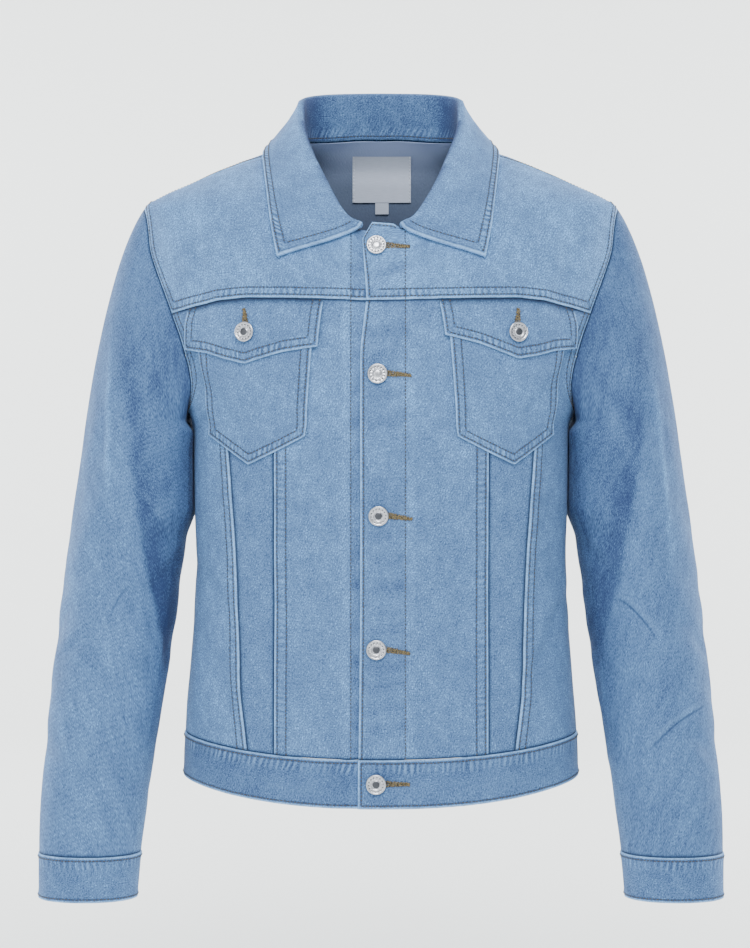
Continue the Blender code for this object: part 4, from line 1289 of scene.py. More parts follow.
# %% Crumple the sleeves
def crumple_sleeve(cloth):
    """Crease a sleeve piece, by its height and its arc round the arm."""
    arc = cloth.turn * GIRTH * ARC_SHARE
    arc = np.where(arc > ARC_SEAM, arc - ARC_ROUND, arc)
    x, z = cloth.grid[..., 0], cloth.grid[..., 2]
    at_rim = 1 - smooth(np.abs(cloth.out[..., 1]) * 2)
    ahead = smooth(-cloth.out[..., 1] * 3)

    # The long fold: its ledge, and the shade on its inner side.
    fold = SLEEVE_FOLD[cloth.side]
    inward = straight(fold, z) - x
    dark = np.interp(z, fold["z"], fold["dark"]) * ahead
    soft = 4 + 9 * smooth((z + 340) / 150)
    ledge = smooth((inward + soft) / (1.7 * soft))
    cloth.tone -= dark * ledge * (0.5 + 0.8 * bell(inward, 7, 13))
    step = -FOLD_STEP * dark * 1.6 * ledge * bell(inward, 0, 30)

    # The pressed ridge with its painted highlight, and painted shade over the upper sleeve and
    # below the armhole.
    line_x, line_z, reach, lean = PRESSED_HIGHLIGHT[cloth.side]
    off_line = x - line_x + lean * (z - line_z)
    pale = np.exp(-(off_line / PRESSED_HIGHLIGHT_WIDTH) ** 2 - ((z - line_z) / reach) ** 4) * ahead
    cloth.tone += 0.36 * pale
    at_armhole = bell(cloth.away("bottom"), 0, 26)
    cloth.tone -= 0.1 * smooth((z + 330) / 110)
    cloth.tone -= 0.26 * at_armhole * ahead * smooth((-110 - z) / 60)

    # Pale and dark strokes change the colour alone, and sharp creases are marked for the material,
    # which paints their dark line and lit bank.
    for lengthwise, sideways, length, width, strength in line_up(x, z, STROKES[cloth.side]):
        stroke = np.exp(-(lengthwise / length) ** 2 - (sideways / width) ** 2)
        cloth.tone += strength * stroke * ahead
    for lengthwise, sideways, length, _, depth in line_up(x, z, FRONT_OF_SLEEVE[cloth.side]):
        sideways = sideways + BOW * lengthwise ** 2 / length
        fade = np.exp(-(lengthwise / length) ** 4)
        cloth.bend(sideways, fade * smooth(depth - SHARP + 1) ** 2 * ahead)
    arm = press(arc, z, SLEEVE_CREASES[cloth.side])
    sharp = press(x, z, FRONT_OF_SLEEVE[cloth.side]) * ahead
    crinkle = ripple(arc * 1.3 + 40 * cloth.side, z * 1.2)
    sunk = (1.1 * arm + crinkle) * (1 - 0.8 * at_rim) + 0.7 * sharp + step + 0.8 * pale
    return sunk * smooth(cloth.away("bottom") / 30) * clear_of_side(cloth)


def clear_of_side(cloth):
    """Leave creases out where the sleeve lies against the body."""
    x, z = np.abs(cloth.grid[..., 0]), cloth.grid[..., 2]
    under_arm = np.exp(-((z + 300) / 75) ** 4)
    return 1 - under_arm * np.exp(-((x - 182) / 14) ** 4)


print("long fold stands", FOLD_STEP, "mm proud")


# %% [markdown]
# ## What is laid on top
# A patch pocket, its flap and a label are small flat pieces sewn onto a larger one. Each is drawn
# as a patch on the body's form and lifted by the cloth under it, so it curves as the chest does.

# %% Pockets, flaps and labels
def laid_on(low_x, low_z, top_x, top_z, rows, lift):
    """A piece that lies on the front, lifted off it by a small clearance."""
    bottom = on_front(low_x, low_z)
    top = on_front(top_x, top_z)
    left = between(bottom[0], top[0], rows)
    right = between(bottom[-1], top[-1], rows)
    seat = body(patch(bottom, top, left, right))
    out = facing(seat)
    return seat + out * (lift + CLOTH), out


def pocket():
    """Pointed chest pocket, lying on the front."""
    low_x = lines(POCKET_BOTTOM["x"][0], (POCKET_BOTTOM["x"][-1], 10))
    top_x = lines(POCKET_TOP_X[0], (POCKET_TOP_X[1], 10))
    low_z = straight(POCKET_BOTTOM, low_x)
    return laid_on(low_x, low_z, top_x, chest_seam(top_x) - 2, 8, POCKET_LIFT)


FLAP_DROOP = table("x rise", (58, 5.5), (125, 2.0), (181, 0.5))
FLAP_TIP = {1: 1.4, -1: 2.2}    # how much further the point reaches
FLAP_TIP_REACH = 12


def flap(side):
    """Scalloped flap, lying on the pocket. The right one droops and the left one has lifted."""
    low_x = lines(FLAP_BOTTOM["x"][0], (FLAP_BOTTOM["x"][-1], 10))
    top_x = lines(FLAP_TOP_X[0], (FLAP_TOP_X[1], 10))
    low_z = straight(FLAP_BOTTOM, low_x)
    low_z = low_z + side * straight(FLAP_DROOP, low_x)
    low_z = low_z - FLAP_TIP[side] * np.exp(-np.abs(low_x - FLAP_BUTTON[0]) / FLAP_TIP_REACH)
    return laid_on(low_x, low_z, top_x, chest_seam(top_x) - 0.6, 3, FLAP_LIFT)


def satin(x_range, z_range):
    """A flat label inside the back yoke."""
    grid, out = back_yoke()
    middle = len(grid) // 2
    lining = (grid - out * CLOTH)[middle - 24:middle + 25]
    z = lines(z_range[0], (z_range[1], 4))
    x = lines(x_range[0], (x_range[1], 6))
    face = np.zeros((len(x), len(z), 3))
    for row, height in enumerate(z):
        lining_x = [np.interp(height, line[:, 2], line[:, 0]) for line in lining]
        lining_y = [np.interp(height, line[:, 2], line[:, 1]) for line in lining]
        face[:, row, 0] = x
        face[:, row, 1] = np.interp(x, lining_x[::-1], lining_y[::-1]) - LABEL_SINK - SATIN
        face[:, row, 2] = height
    return face, face * 0 - AXES[1]


print("flap lies", FLAP_LIFT, "mm off the front")


# %% [markdown]
# ## Washed denim
# Denim is a twill: blue warp threads over a white filling, so fine diagonal lines run up to the
# right. Washing bleaches the warp unevenly, most of all on folds and on the puckers between two
# rows of stitches, and leaves it dark in their hollows. Painted shade darkens the grooves under the
# thread, sharp creases and the cloth beside a tucked edge, and a painted highlight lies on a
# crease's lit bank. The filling shows on the inside, which is paler and greyer, with painted light
# and shade on the back yoke's inside. The pattern follows each piece's own UV map, which is in
# metres, because the weave bends with the cloth. The real twill lines are under a millimetre apart,
# too fine to show from two metres, so they are drawn about twice as coarse.

# %% Denim: its colours, and the patterns in it
MM_PER_M = 1000.0
TWILL = 2.5           # millimetres between twill lines, as drawn
TWILL_SLOPE = 1.9     # how far a line climbs for each millimetre across
PUCKER = 5.6          # millimetres from one pucker to the next
DEEP, MID, PALE = "#2D3F67", "#5A7EAB", "#78B2ED"
# Next: the pale of rubbed folds and pucker crests, also used for the painted highlight on a
# crease's lit bank; a dark blue for dye left in pucker hollows, also used for painted shade under
# rows of thread and in sharp creases; and the near black of the painted shadow line beside a tucked
# edge.
FOLD, GROOVE, TUCKED = "#8DBDF2", "#26395E", "#15223C"
# The inside: its grey range, a paler colour for painted light near the top of the back yoke, and a
# darker one for painted shade low down.
INSIDE, INSIDE_LIT, INSIDE_SHADED = ("#4D586F", "#627189"), "#B2C6F2", "#3B4560"
# Uneven patterns: cycles per millimetre across and along the warp, detail and roughness.
UNEVEN = {"broken": (0.22, 0.16, 2.0, 0.5), "grain": (0.55, 0.44, 3.0, 0.75),
          "yarn": (1.1, 0.8, 1.0, 0.5), "streak": (0.6, 0.06, 2.0, 0.5),
          "cloud": (0.028, 0.02, 3.0, 0.55), "blotch": (0.11, 0.08, 3.0, 0.6),
          "vein": (0.075, 0.06, 3.0, 0.6), "fleck": (0.75, 0.4, 1.0, 0.5)}
UNEVEN_SEAM = {"wander": (0.085, 0.03, 2.0, 0.5), "patchy": (0.035, 0.01, 2.0, 0.5),
               "rubbed": (0.36, 0.5, 3.0, 0.8), "worn_here": (0.045, 0.0, 2.0, 0.6)}
# How much each pattern adds to the wash, and its middle value.
WASH_PARTS = (("twill", 0.07, 0.0), ("grain", 1.0, 0.5), ("yarn", 1.5, 0.5),
              ("streak", 0.3, 0.5), ("cloud", 0.65, 0.5), ("blotch", 0.45, 0.5),
              ("fleck", 0.2, 0.1), ("vein", -0.16, 0.1))
# Colours that lie over the wash, each over the ones before it, and how strongly. Some are wear,
# and some are painted light and shade: the groove under each row, a crease's dark line and lit
# bank, and the shadow line beside a tucked edge.
WEAR_AND_PAINTED_LIGHT = (("hollow", 0.55, GROOVE), ("crest", 0.4, FOLD), ("fold", 0.98, FOLD),
        ("groove", 0.5, GROOVE), ("bend", 0.62, GROOVE), ("bank", 0.1, FOLD),
        ("shade", 0.95, TUCKED))
# Height of each part of the relief, in millimetres.
HEIGHT_PARTS = (("grain", 0.5), ("streak", 0.15), ("vein", -0.12), ("hollow", -0.7),
                ("groove", -0.3), ("bend", -0.6))


print("patterns in the wash:", len(WASH_PARTS))


# %% Denim: the material
def denim(name):
    """Washed cotton twill, with worn folds and dark grooves."""
    made, put = blank(name)
    uv = put("UVMap", uv_map="cloth")
    place = put("VectorMath SCALE", {0: uv, "Scale": MM_PER_M})
    edge, along, shade, crimp, reach, last_row, tone, worn, crease, creased, faded, lined = [
        put("Attribute", out="Fac", attribute_name=word) for word in (*MEASURES, "lined")]
    seam = put("CombineXYZ", (along, edge))
    part = {}
    for source, patterns in ((place, UNEVEN), (seam, UNEVEN_SEAM)):
        for word, (across, up, detail, rough) in patterns.items():
            scaled = put("VectorMath MULTIPLY", (source, (across, up, 1.0)))
            part[word] = put("TexNoise", {"Vector": scaled, "Scale": 1.0, "Detail": detail,
                                          "Roughness": rough})

    # The weave is broken diagonal lines. Veins are the fine crinkles that a wash leaves.
    size = math.hypot(TWILL_SLOPE, 1) * TWILL / (2 * math.pi)
    climb = (TWILL_SLOPE / size, -1 / size, 0)
    slant = put("VectorMath DOT_PRODUCT", (place, climb), out="Value")
    slant = put("Math MULTIPLY_ADD", (part["broken"], 9.0, slant))
    part["twill"] = put("Math SINE", (slant,))
    part["fleck"] = put("MapRange", (part["fleck"], 0.6, 0.72), **EASED)
    part["vein"] = put("Math SUBTRACT", (part["vein"], 0.5))
    part["vein"] = put("Math ABSOLUTE", (part["vein"],))
    part["vein"] = put("MapRange", (part["vein"], 0.028, 0.0))

    # How washed each spot is: 0.5 is the middle blue and 1 is pale.
    washed = put("Math ADD", (0.4, tone))
    for word, weight, even in WASH_PARTS:
        uneven = put("Math SUBTRACT", (part[word], even))
        washed = put("Math MULTIPLY_ADD", (uneven, weight, washed))
    dark = put("MapRange", (washed, -0.4, 0.5))
    pale = put("MapRange", (washed, 0.5, 1.0))
    colour = put("Mix", {0: dark, 6: linear(DEEP), 7: linear(MID)}, **MIXED)
    colour = put("Mix", {0: pale, 6: colour, 7: linear(PALE)}, **MIXED)
    lit = put("Math MULTIPLY_ADD", (part["yarn"], 0.8, part["grain"]))
    lit = put("MapRange", (lit, 0.5, 1.3, 0.72, 1.28))
    colour = put("VectorMath SCALE", {0: colour, "Scale": lit})

    # Between two rows of stitches the cloth has shrunk into puckers: dark hollows, pale crests.
    wander = put("Math MULTIPLY", (edge, 0.06))
    wander = put("Math MULTIPLY_ADD", (part["wander"], 11.0, wander))
    wave = put("Math MULTIPLY_ADD", (along, 2 * math.pi / PUCKER, wander))
    wave = put("Math SINE", (wave,))
    last = put("Math DIVIDE", (edge, reach))
    last = put("MapRange", (last, 0.55, 1.05, 1.0, 0.0), **EASED)
    within = put("MapRange", (edge, 2.0, 3.4), **EASED)
    patchy = put("MapRange", (part["patchy"], 0.4, 0.6, 0.35, 1.0), **EASED)
    for factor in (last, crimp, patchy):
        within = put("Math MULTIPLY", (within, factor))
    hollow = put("MapRange", (wave, 0.1, 0.95), **EASED)
    crest = put("MapRange", (wave, 0.0, -0.9), **EASED)
    part["hollow"] = put("Math MULTIPLY", (hollow, within))
    part["crest"] = put("Math MULTIPLY", (crest, within))

    # The fold itself is rubbed pale, and a narrow groove under each row of thread gets painted
    # shade.
    has_fold = put("MapRange", (crimp, 0.0, 0.1))
    width = put("Math MULTIPLY", (part["rubbed"], worn))
    fold = put("Math MULTIPLY_ADD", (width, -3.6, edge))
    fold = put("MapRange", (fold, 0.6, -0.8), **EASED)
    here = put("MapRange", (part["worn_here"], 0.36, 0.62, 0.42, 1.0))
    spun = put("MapRange", (part["yarn"], 0.35, 0.6, 0.6, 1.0))
    for factor in (here, spun):
        fold = put("Math MULTIPLY", (fold, factor))
    part["fold"] = put("Math MULTIPLY", (fold, has_fold))
    rows = []
    for row in (FIRST_ROW, last_row):
        away = put("Math SUBTRACT", (edge, row))
        away = put("Math ABSOLUTE", (away,))
        rows.append(put("MapRange", (away, 1.5, 0.3), **EASED))
    groove = put("Math MAXIMUM", tuple(rows))
    part["groove"] = put("Math MULTIPLY", (groove, has_fold))

    # A sharp crease is a dark line of painted shade, with a painted highlight on its lit bank above
    # it.
    off = put("Math ABSOLUTE", (crease,))
    bend = put("MapRange", (off, 1.7, 0.1), **EASED)
    part["bend"] = put("Math MULTIPLY", (bend, creased))
    bank = put("Math SUBTRACT", (crease, 4.5))
    bank = put("Math ABSOLUTE", (bank,))
    bank = put("MapRange", (bank, 4.0, 0.5), **EASED)
    part["bank"] = put("Math MULTIPLY", (bank, creased))

    part["shade"] = shade
    for word, strength, over in WEAR_AND_PAINTED_LIGHT:
        share = put("Math MULTIPLY", (part[word], strength))
        colour = put("Mix", {0: share, 6: colour, 7: linear(over)}, **MIXED)

    # The inside shows the filling. It gets painted light near the top of the back yoke and painted
    # shade low down.
    inner = put("Mix", {0: part["grain"], 6: linear(INSIDE[0]), 7: linear(INSIDE[1])}, **MIXED)
    low = put("Math MULTIPLY", (faded, -1.0))
    for share, over in ((faded, INSIDE_LIT), (low, INSIDE_SHADED)):
        share = put("MapRange", (share, 0.0, 1.0))
        inner = put("Mix", {0: share, 6: inner, 7: linear(over)}, **MIXED)
    colour = put("Mix", {0: lined, 6: colour, 7: inner}, **MIXED)

    # Relief in millimetres: threads, puckers, and grooves under the stitches.
    height = put("Math MULTIPLY", (part["twill"], 0.035))
    for word, weight in HEIGHT_PARTS:
        height = put("Math MULTIPLY_ADD", (part[word], weight, height))
    bump = put("Bump", {"Height": height, "Distance": MM, "Strength": 0.8})
    shader = put("BsdfPrincipled", {
        "Base Color": colour, "Normal": bump, "Roughness": 0.88, "Specular IOR Level": 0.2,
        "Sheen Weight": 0.04, "Sheen Roughness": 0.5})
    put("OutputMaterial", {"Surface": shader})
    return made


DENIM = denim("washed_denim")
COLLAR_DENIM = denim("collar_denim")
print("twill line drawn every", TWILL, "mm")


# %% [markdown]
# ## Thread, satin and metal
# Topstitching thread is cotton spun round a strong core, the label is polyester satin, and the
# buttons are nickel-plated brass. They cover few pixels, so one soft pattern each is enough.

# %% Thread, satin and metal
def thread(name, colour):
    """Spun cotton-covered thread: matt, with no colour of its own beyond the dye."""
    made, put = blank(name)
    place = put("TexCoord", out="Object")
    fleck = put("TexNoise", {"Vector": place, "Scale": 900.0, "Detail": 2.0})
    fleck = put("MapRange", (fleck, 0.38, 0.62))
    tone = put("Mix", {0: fleck, 6: linear(colour[0]), 7: linear(colour[1])}, **MIXED)
    shader = put("BsdfPrincipled", {"Base Color": tone, "Roughness": 0.7})
    put("OutputMaterial", {"Surface": shader})
    return made


def woven_satin():
    """Polyester satin: fine level ribs with a soft silver shine."""
    made, put = blank("woven_satin")
    uv = put("UVMap", uv_map="cloth")
    place = put("VectorMath MULTIPLY", (uv, (120.0, 2600.0, 1.0)))
    rib = put("TexNoise", {"Vector": place, "Scale": 1.0, "Detail": 1.0})
    tone = put("Mix", {0: rib, 6: linear("#ACB7CA"), 7: linear("#CED7E8")}, **MIXED)
    bump = put("Bump", {"Height": rib, "Distance": 0.0002, "Strength": 0.4})
    shader = put("BsdfPrincipled", {"Base Color": tone, "Normal": bump, "Roughness": 0.38})
    put("OutputMaterial", {"Surface": shader})
    return made


def nickel(name, colour, smoothest, roughest):
    """Nickel-plated brass, tumbled: bright, and duller in the hollows."""
    made, put = blank(name)
    place = put("TexCoord", out="Object")
    cloud = put("TexNoise", {"Vector": place, "Scale": 600.0, "Detail": 3.0})
    rough = put("MapRange", {"Value": cloud, "To Min": smoothest, "To Max": roughest})
    shader = put("BsdfPrincipled", {
        "Base Color": linear(colour), "Roughness": rough, "Metallic": 1.0})
    put("OutputMaterial", {"Surface": shader})
    return made


# The grey thread is darker than the thread itself: its colour holds painted shade for the shadow
# round each stitch.
GREY_THREAD = thread("grey_thread", ("#353C47", "#4F493F"))
TAN_THREAD = thread("tan_thread", ("#2E2A20", "#82734E"))
PALE_THREAD = thread("pale_thread", ("#C3CCDA", "#DDE3EC"))
SATIN_CLOTH = woven_satin()
NICKEL = nickel("nickel_plate", "#C6C8CE", 0.2, 0.42)
DARK_NICKEL = nickel("tarnished_nickel", "#55575C", 0.35, 0.6)
print("finishes:", [finish.name for finish in (GREY_THREAD, SATIN_CLOTH, NICKEL, DARK_NICKEL)])


# %% [markdown]
# ## From grid to mesh
# Blender's grid operator lays the points out flat, and extruding the whole face region gives a
# closed wall with its rim. The points then move to their places: the first set to the outer
# face, the grown set to the inner one.

# %% Make the wall
DOUBLED = ("collar", "waistband", "cuff_left", "cuff_right")   # both faces are outer cloth
SHARP_RIM = 60        # degrees


def dress(name, mesh, slot, *finishes, node=None, sharp=None):
    """Show a mesh as a piece of the jacket, in place of a node of the rigid model."""
    made = show(name, mesh, *finishes, sharp=sharp)
    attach(made, "root")
    if node:
        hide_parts(node)
    return made


def in_order(values):
    """A grid's values as one list, in the order of the mesh's points."""
    return values.swapaxes(0, 1).reshape(-1, *values.shape[2:])


def weave(cloth, finish, slot):
    """Make a piece's closed wall, with its UV map and its measures as attributes."""
    flip = np.array([cloth.side, 1, 1]) * MM
    outer, inner = in_order(cloth.face() * flip), in_order(cloth.back() * flip)
    columns, rows = cloth.grid.shape[:2]
    bm = bmesh.new()
    bmesh.ops.create_grid(bm, x_segments=columns - 1, y_segments=rows - 1, size=1)
    place = bm.verts.layers.int.new("place")
    lined = bm.verts.layers.float.new("lined")
    for i, vert in enumerate(bm.verts):
        vert[place] = i
        vert.co = outer[i]
    for item in bmesh.ops.extrude_face_region(bm, geom=bm.faces[:])["geom"]:
        if isinstance(item, bmesh.types.BMVert):
            item.co = inner[item[place]]
            item[lined] = float(cloth.name not in DOUBLED)
    bmesh.ops.recalc_face_normals(bm, faces=bm.faces[:])
    mesh = mesh_of(bm, cloth.name)
    index = np.zeros(len(mesh.vertices), int)
    mesh.attributes["place"].data.foreach_get("value", index)
    for word in MEASURES:
        values = in_order(getattr(cloth, word))[index].astype(np.float32)
        mesh.attributes.new(word, "FLOAT", "POINT").data.foreach_set("value", values)
    across, up = run_along(cloth.grid, 0), run_along(cloth.grid, 1)
    middle = (columns // 2, rows // 2)
    turn = np.cross(*(np.gradient(cloth.grid, axis=axis)[middle] for axis in (0, 1)))
    u = (across - across[middle[0]]) * np.sign(turn @ cloth.out[middle]) * cloth.side
    flat = in_order(np.stack([u, up], axis=-1))[index] * MM
    corner = np.zeros(len(mesh.loops), int)
    mesh.loops.foreach_get("vertex_index", corner)
    uv = mesh.uv_layers.new(name="cloth")
    uv.data.foreach_set("uv", flat[corner].ravel().astype(np.float32))
    piece = dress("cloth_" + cloth.name, mesh, slot, finish, node=cloth.name, sharp=SHARP_RIM)


# %% [markdown]
# ## Stitches
# A row of topstitching is a run of short threads that lie on the cloth and dive into it at both
# ends. Each is a stretched six-sided bead. There are thousands, so one bead is made with a
# Blender operator and its points are copied along every row.

# %% Beads of thread
STITCH = 3.3          # millimetres from one stitch to the next
STITCH_LENGTH = 2.6
THREAD = 1.2          # thickness
THREAD_LIFT = 0.14    # of the thread's middle, off the cloth
MITRE = 0.35          # rows from two edges stop where they meet, to this distance
rng = np.random.default_rng(7)
bm = bmesh.new()
bmesh.ops.create_uvsphere(bm, u_segments=5, v_segments=4, radius=0.5)
BEAD = np.array([vert.co[:] for vert in bm.verts])
BEAD_FACES = [[vert.index for vert in face.verts] for face in bm.faces]
bm.free()


def beads(name, middle, along, normal, length, thick, finish, side=1):
    """Many beads as one mesh: each is stretched along its own direction."""
    across = unit(np.cross(normal, along))
    normal = np.cross(along, across)
    points = (middle[:, None] + BEAD[None, :, 2:3] * along[:, None] * length[:, None, None]
              + BEAD[None, :, 0:1] * across[:, None] * thick
              + BEAD[None, :, 1:2] * normal[:, None] * thick)
    points = points.reshape(-1, 3) * np.array([side, 1, 1]) * MM
    order = -1 if side < 0 else 1
    faces = [[i * len(BEAD) + j for j in face][::order]
             for i in range(len(middle)) for face in BEAD_FACES]
    mesh = bpy.data.meshes.new(name)
    mesh.from_pydata(points.tolist(), [], faces)
    dress(name, mesh, "denim", finish)


print("points in a bead:", len(BEAD))


# %% Rows of stitches
def trace(cloth, axis, field, level):
    """Points and facings where a field of the grid passes a level, one for each grid line."""
    values = np.moveaxis(field, axis, 0) - level
    face = np.moveaxis(cloth.face(), axis, 0)
    out = np.moveaxis(cloth.out, axis, 0)
    edge = np.moveaxis(cloth.edge, axis, 0)
    cross = values[:-1] * values[1:] <= 0
    found = cross.any(axis=0)
    low = cross.argmax(axis=0)
    line = np.arange(values.shape[1])
    first, second = values[low, line], values[low + 1, line]
    t = np.where(first == second, 0, first / np.where(first == second, 1, first - second))[:, None]
    points = face[low, line] * (1 - t) + face[low + 1, line] * t
    facings = unit(out[low, line] * (1 - t) + out[low + 1, line] * t)
    near = edge[low, line] * (1 - t[:, 0]) + edge[low + 1, line] * t[:, 0]
    return points, facings, near, found


def along_line(points, facings):
    """Stitch places along one unbroken line, with their directions and facings."""
    run = running(np.linalg.norm(np.diff(points, axis=0), axis=1))
    count = int(run[-1] / STITCH)
    at = (np.arange(count) + 0.5) * run[-1] / max(count, 1)

    def read_at(values, where):
        return np.stack([np.interp(where, run, values[:, i]) for i in range(3)], axis=-1)

    ahead, behind = (read_at(points, at + way * STITCH * 0.35) for way in (1, -1))
    return read_at(points, at), unit(ahead - behind), unit(read_at(facings, at))


def stitch_up(cloth, strand):
    """Lay thread along every row of stitches that a piece has."""
    runs = []
    for axis, field, level, mitred in cloth.rows:
        points, facings, near, found = trace(cloth, axis, field, level)
        if mitred:
            found = found & (near > level - MITRE)
        breaks = np.flatnonzero(np.diff(found.astype(int))) + 1
        for part in np.split(np.arange(len(found)), breaks):
            if found[part[0]] and len(part) > 2:
                runs.append(along_line(points[part], facings[part]))
    middle, along, normal = (np.concatenate(each) for each in zip(*runs))
    across = np.cross(normal, along)
    middle = middle + across * rng.normal(0, 0.09, (len(middle), 1)) + normal * THREAD_LIFT
    length = STITCH_LENGTH * rng.normal(1, 0.05, len(middle))
    beads("thread_" + cloth.name, middle, along, normal, length, THREAD, strand, cloth.side)
    return len(middle)


def make(cloth, finish=DENIM, slot="denim", strand=GREY_THREAD):
    """Weave a piece and sew its rows. Returns how many stitches that took."""
    weave(cloth, finish, slot)
    return stitch_up(cloth, strand) if cloth.rows else 0


# %% [markdown]
# ## Cut and sew the fronts
# The left front laps over the right. Its edge is turned in twice to make the button placket,
# so it shows an edge row and a second row about 40 mm in.

# %% The button placket
PLACKET_X = {1: 22.0, -1: 28.0}
PLACKET_RISE = 0.35
PLACKET_WAVE = 0.22
PLACKET_BANDS = (-118, -141, -176, -196, -232, -258, -287, -312, -326, -362, -381, -409, -433,
                 -447, -482, -499, -521, -540)


def placket(cloth):
    """Raise the doubled cloth of the placket, mark its row of stitches, and shade its low waves."""
    across, z = cloth.grid[..., 0], cloth.grid[..., 2]
    x = PLACKET_X[cloth.side]
    inside = 1 - smooth((across - x) / 2.5)
    waves = sum(bell(z - at, 0.12 * across, 4.0 + i % 3) * (0.6 + 0.2 * (i * 7 % 3))
                for i, at in enumerate(PLACKET_BANDS))
    cloth.rise += (PLACKET_RISE - PLACKET_WAVE * waves) * inside
    cloth.tone -= 0.20 * waves * inside * smooth((across + 16) / 8)
    cloth.tone += 0.14 * bell(across - x, 4.5, 4.0)
    # On the right front: painted shadow that the left front's edge casts beside it.
    if cloth.side < 0:
        uneven = 0.7 + 0.3 * np.sin(z / 23.0 + 1.2 * np.sin(z / 61.0))
        cloth.tone -= inside * uneven * (0.04 + 0.16 * bell(across, 20, 4.5))
    cloth.rows.append((0, across, x, False))


print("waves in the placket:", len(PLACKET_BANDS))


# %% Yokes and centre fronts
BOTH = ((1, "left"), (-1, "right"))
COLLAR_END_X = (15, 17)     # the top edge is turned in before it, and under the collar beyond
FLAP_PAD = 1.0              # the yoke lies over the flap and the pocket,
FLAP_PAD_X = (48, 180)      # between these
PANEL_SHOWS_Z = -262        # the seams at the pocket show from here down
SIDE_SHOWS_Z = -258
stitches = 0
for side, end in BOTH:
    yoke = Cloth("front_yoke_" + end, *front_yoke(side))
    top_x = yoke.grid[:, -1, 0][:, None]
    yoke.sew("bottom", "lapped", crimp=0.8).sew("right", "lapped", crimp=0.45)
    if side > 0:
        yoke.sew("left", "edge", crimp=0.3)
    yoke.sew("top", "edge", where=top_x < COLLAR_END_X[0])
    yoke.tuck("top", where=top_x > COLLAR_END_X[1])
    placket(yoke)
    x = yoke.grid[..., 0]
    over_flap = smooth((x - FLAP_PAD_X[0]) / 8) * (1 - smooth((x - FLAP_PAD_X[1]) / 8))
    yoke.rise += FLAP_PAD * over_flap * (1 - smooth(yoke.away("bottom") / 12))
    yoke.form = crumple_body(yoke) + waver(yoke)
    stitches += make(yoke)

    panel = Cloth("front_panel_" + end, *front_panel(side))
    z = panel.grid[..., 2]
    below_pocket = smooth((PANEL_SHOWS_Z - z) / 14)
    panel.sew("right", "broad", strength=below_pocket, crimp=0.45)
    if side > 0:
        panel.sew("left", "edge", crimp=0.3)
    panel.tone += 0.06 * smooth((z + 400) / 130)
    panel.tuck("top").tuck("bottom")
    placket(panel)
    panel.form = crumple_body(panel) + waver(panel) * below_pocket
    stitches += make(panel)

    inset = Cloth("front_inset_" + end, *front_inset())
    inset.tuck("left").tuck("right", reach=2.7).tuck("top").tuck("bottom")
    inset.form = crumple_body(inset)
    stitches += make(inset)

    flank = Cloth("front_side_" + end, *side_panel(back=False))
    below_pocket = smooth((SIDE_SHOWS_Z - flank.grid[..., 2]) / 14)
    flank.sew("left", "lapped", strength=below_pocket, crimp=0.35)
    flank.sew("right", "lapped", where=meets_armhole(flank), crimp=0.4)
    flank.tuck("top").tuck("bottom")
    sewn = np.maximum(below_pocket, flank.away("right") < 20)
    flank.form = crumple_body(flank) + waver(flank) * sewn
    stitches += make(flank)
print("stitches so far:", stitches)

# %% [markdown]
# ## Back and band
# The back is plain: a yoke over a centre panel and two sides. The waistband and the collar close
# the body at both ends.

# %% Back
NECK_HALF = 80
for side, end in BOTH:
    flank = Cloth("back_side_" + end, *side_panel(back=True))
    flank.sew("right", "lapped", where=meets_armhole(flank))
    flank.tuck("left").tuck("top").tuck("bottom")
    flank.form = crumple_body(flank) + waver(flank)
    stitches += make(flank)

yoke = Cloth("back_yoke", *back_yoke())
beyond_neck = (np.abs(yoke.grid[:, -1, 0]) > NECK_HALF)[:, None]
yoke.sew("bottom", "lapped", crimp=0.8).sew("left", "lapped").sew("right", "lapped")
yoke.sew("top", "lapped", where=beyond_neck)
yoke.tuck("top", where=~beyond_neck)
yoke.form = crumple_body(yoke) * smooth(yoke.away("top") / 30) + waver(yoke)
# Painted light on the inside near the neck, and painted shade lower down.
yoke.faded = bell(yoke.away("top"), 0, 27) - 0.8 * smooth((-24 - yoke.grid[..., 2]) / 60)
stitches += make(yoke)

panel = Cloth("back_panel", *back_panel())
panel.sew("left", "lapped", crimp=0.45).sew("right", "lapped", crimp=0.45)
panel.tuck("top").tuck("bottom")
panel.form = crumple_body(panel) + waver(panel)
stitches += make(panel)
print("stitches so far:", stitches)


# %% Waistband
def beat(along, short, long, lift):
    """Waves that a thread has drawn up along an edge, uneven in length and height."""
    return np.sin(along / short + 2.0 * np.sin(along / long)) * (0.7 + 0.3 * np.sin(along / lift))


band = Cloth("waistband", *waistband(), wall=DOUBLE)
band.sew("top", "gathered", crimp=0.75, worn=0.75).sew("bottom", "band", crimp=0.6)
band.sew("left", "edge", crimp=0.3)
from_top = band.away("top")
low_waves = beat(band.along, 6.1, 37.0, 11.3) * bell(from_top, 9, 7)
band.tone += 0.1 * smooth(band.grid[..., 0] / 80) + 0.13 * low_waves - 0.1 * bell(from_top, 14, 6)
band.form = crumple_body(band) * 0.6 + waver(band) + 0.35 * low_waves
stitches += make(band)
print("stitches so far:", stitches)

# %% The collar's leaf
leaf = Cloth("collar", *collar(), wall=COLLAR_WALL)
leaf.sew("top", "turned", crimp=1.05, worn=0.9)
for end in ("left", "right"):
    leaf.sew(end, "rolled", crimp=0.12, worn=1.7)
leaf.sew("bottom", "gathered", crimp=0.42, worn=0.2)
run = run_along(leaf.grid, 1)
crown = leaf.grid[..., 2].argmax(axis=1)[:, None]
past_fold = run - np.take_along_axis(run, crown, axis=1)
across = np.abs(leaf.grid[..., 0])
puckers = beat(leaf.along, 3.4, 21.0, 8.7) * bell(leaf.away("bottom"), 9, 6)
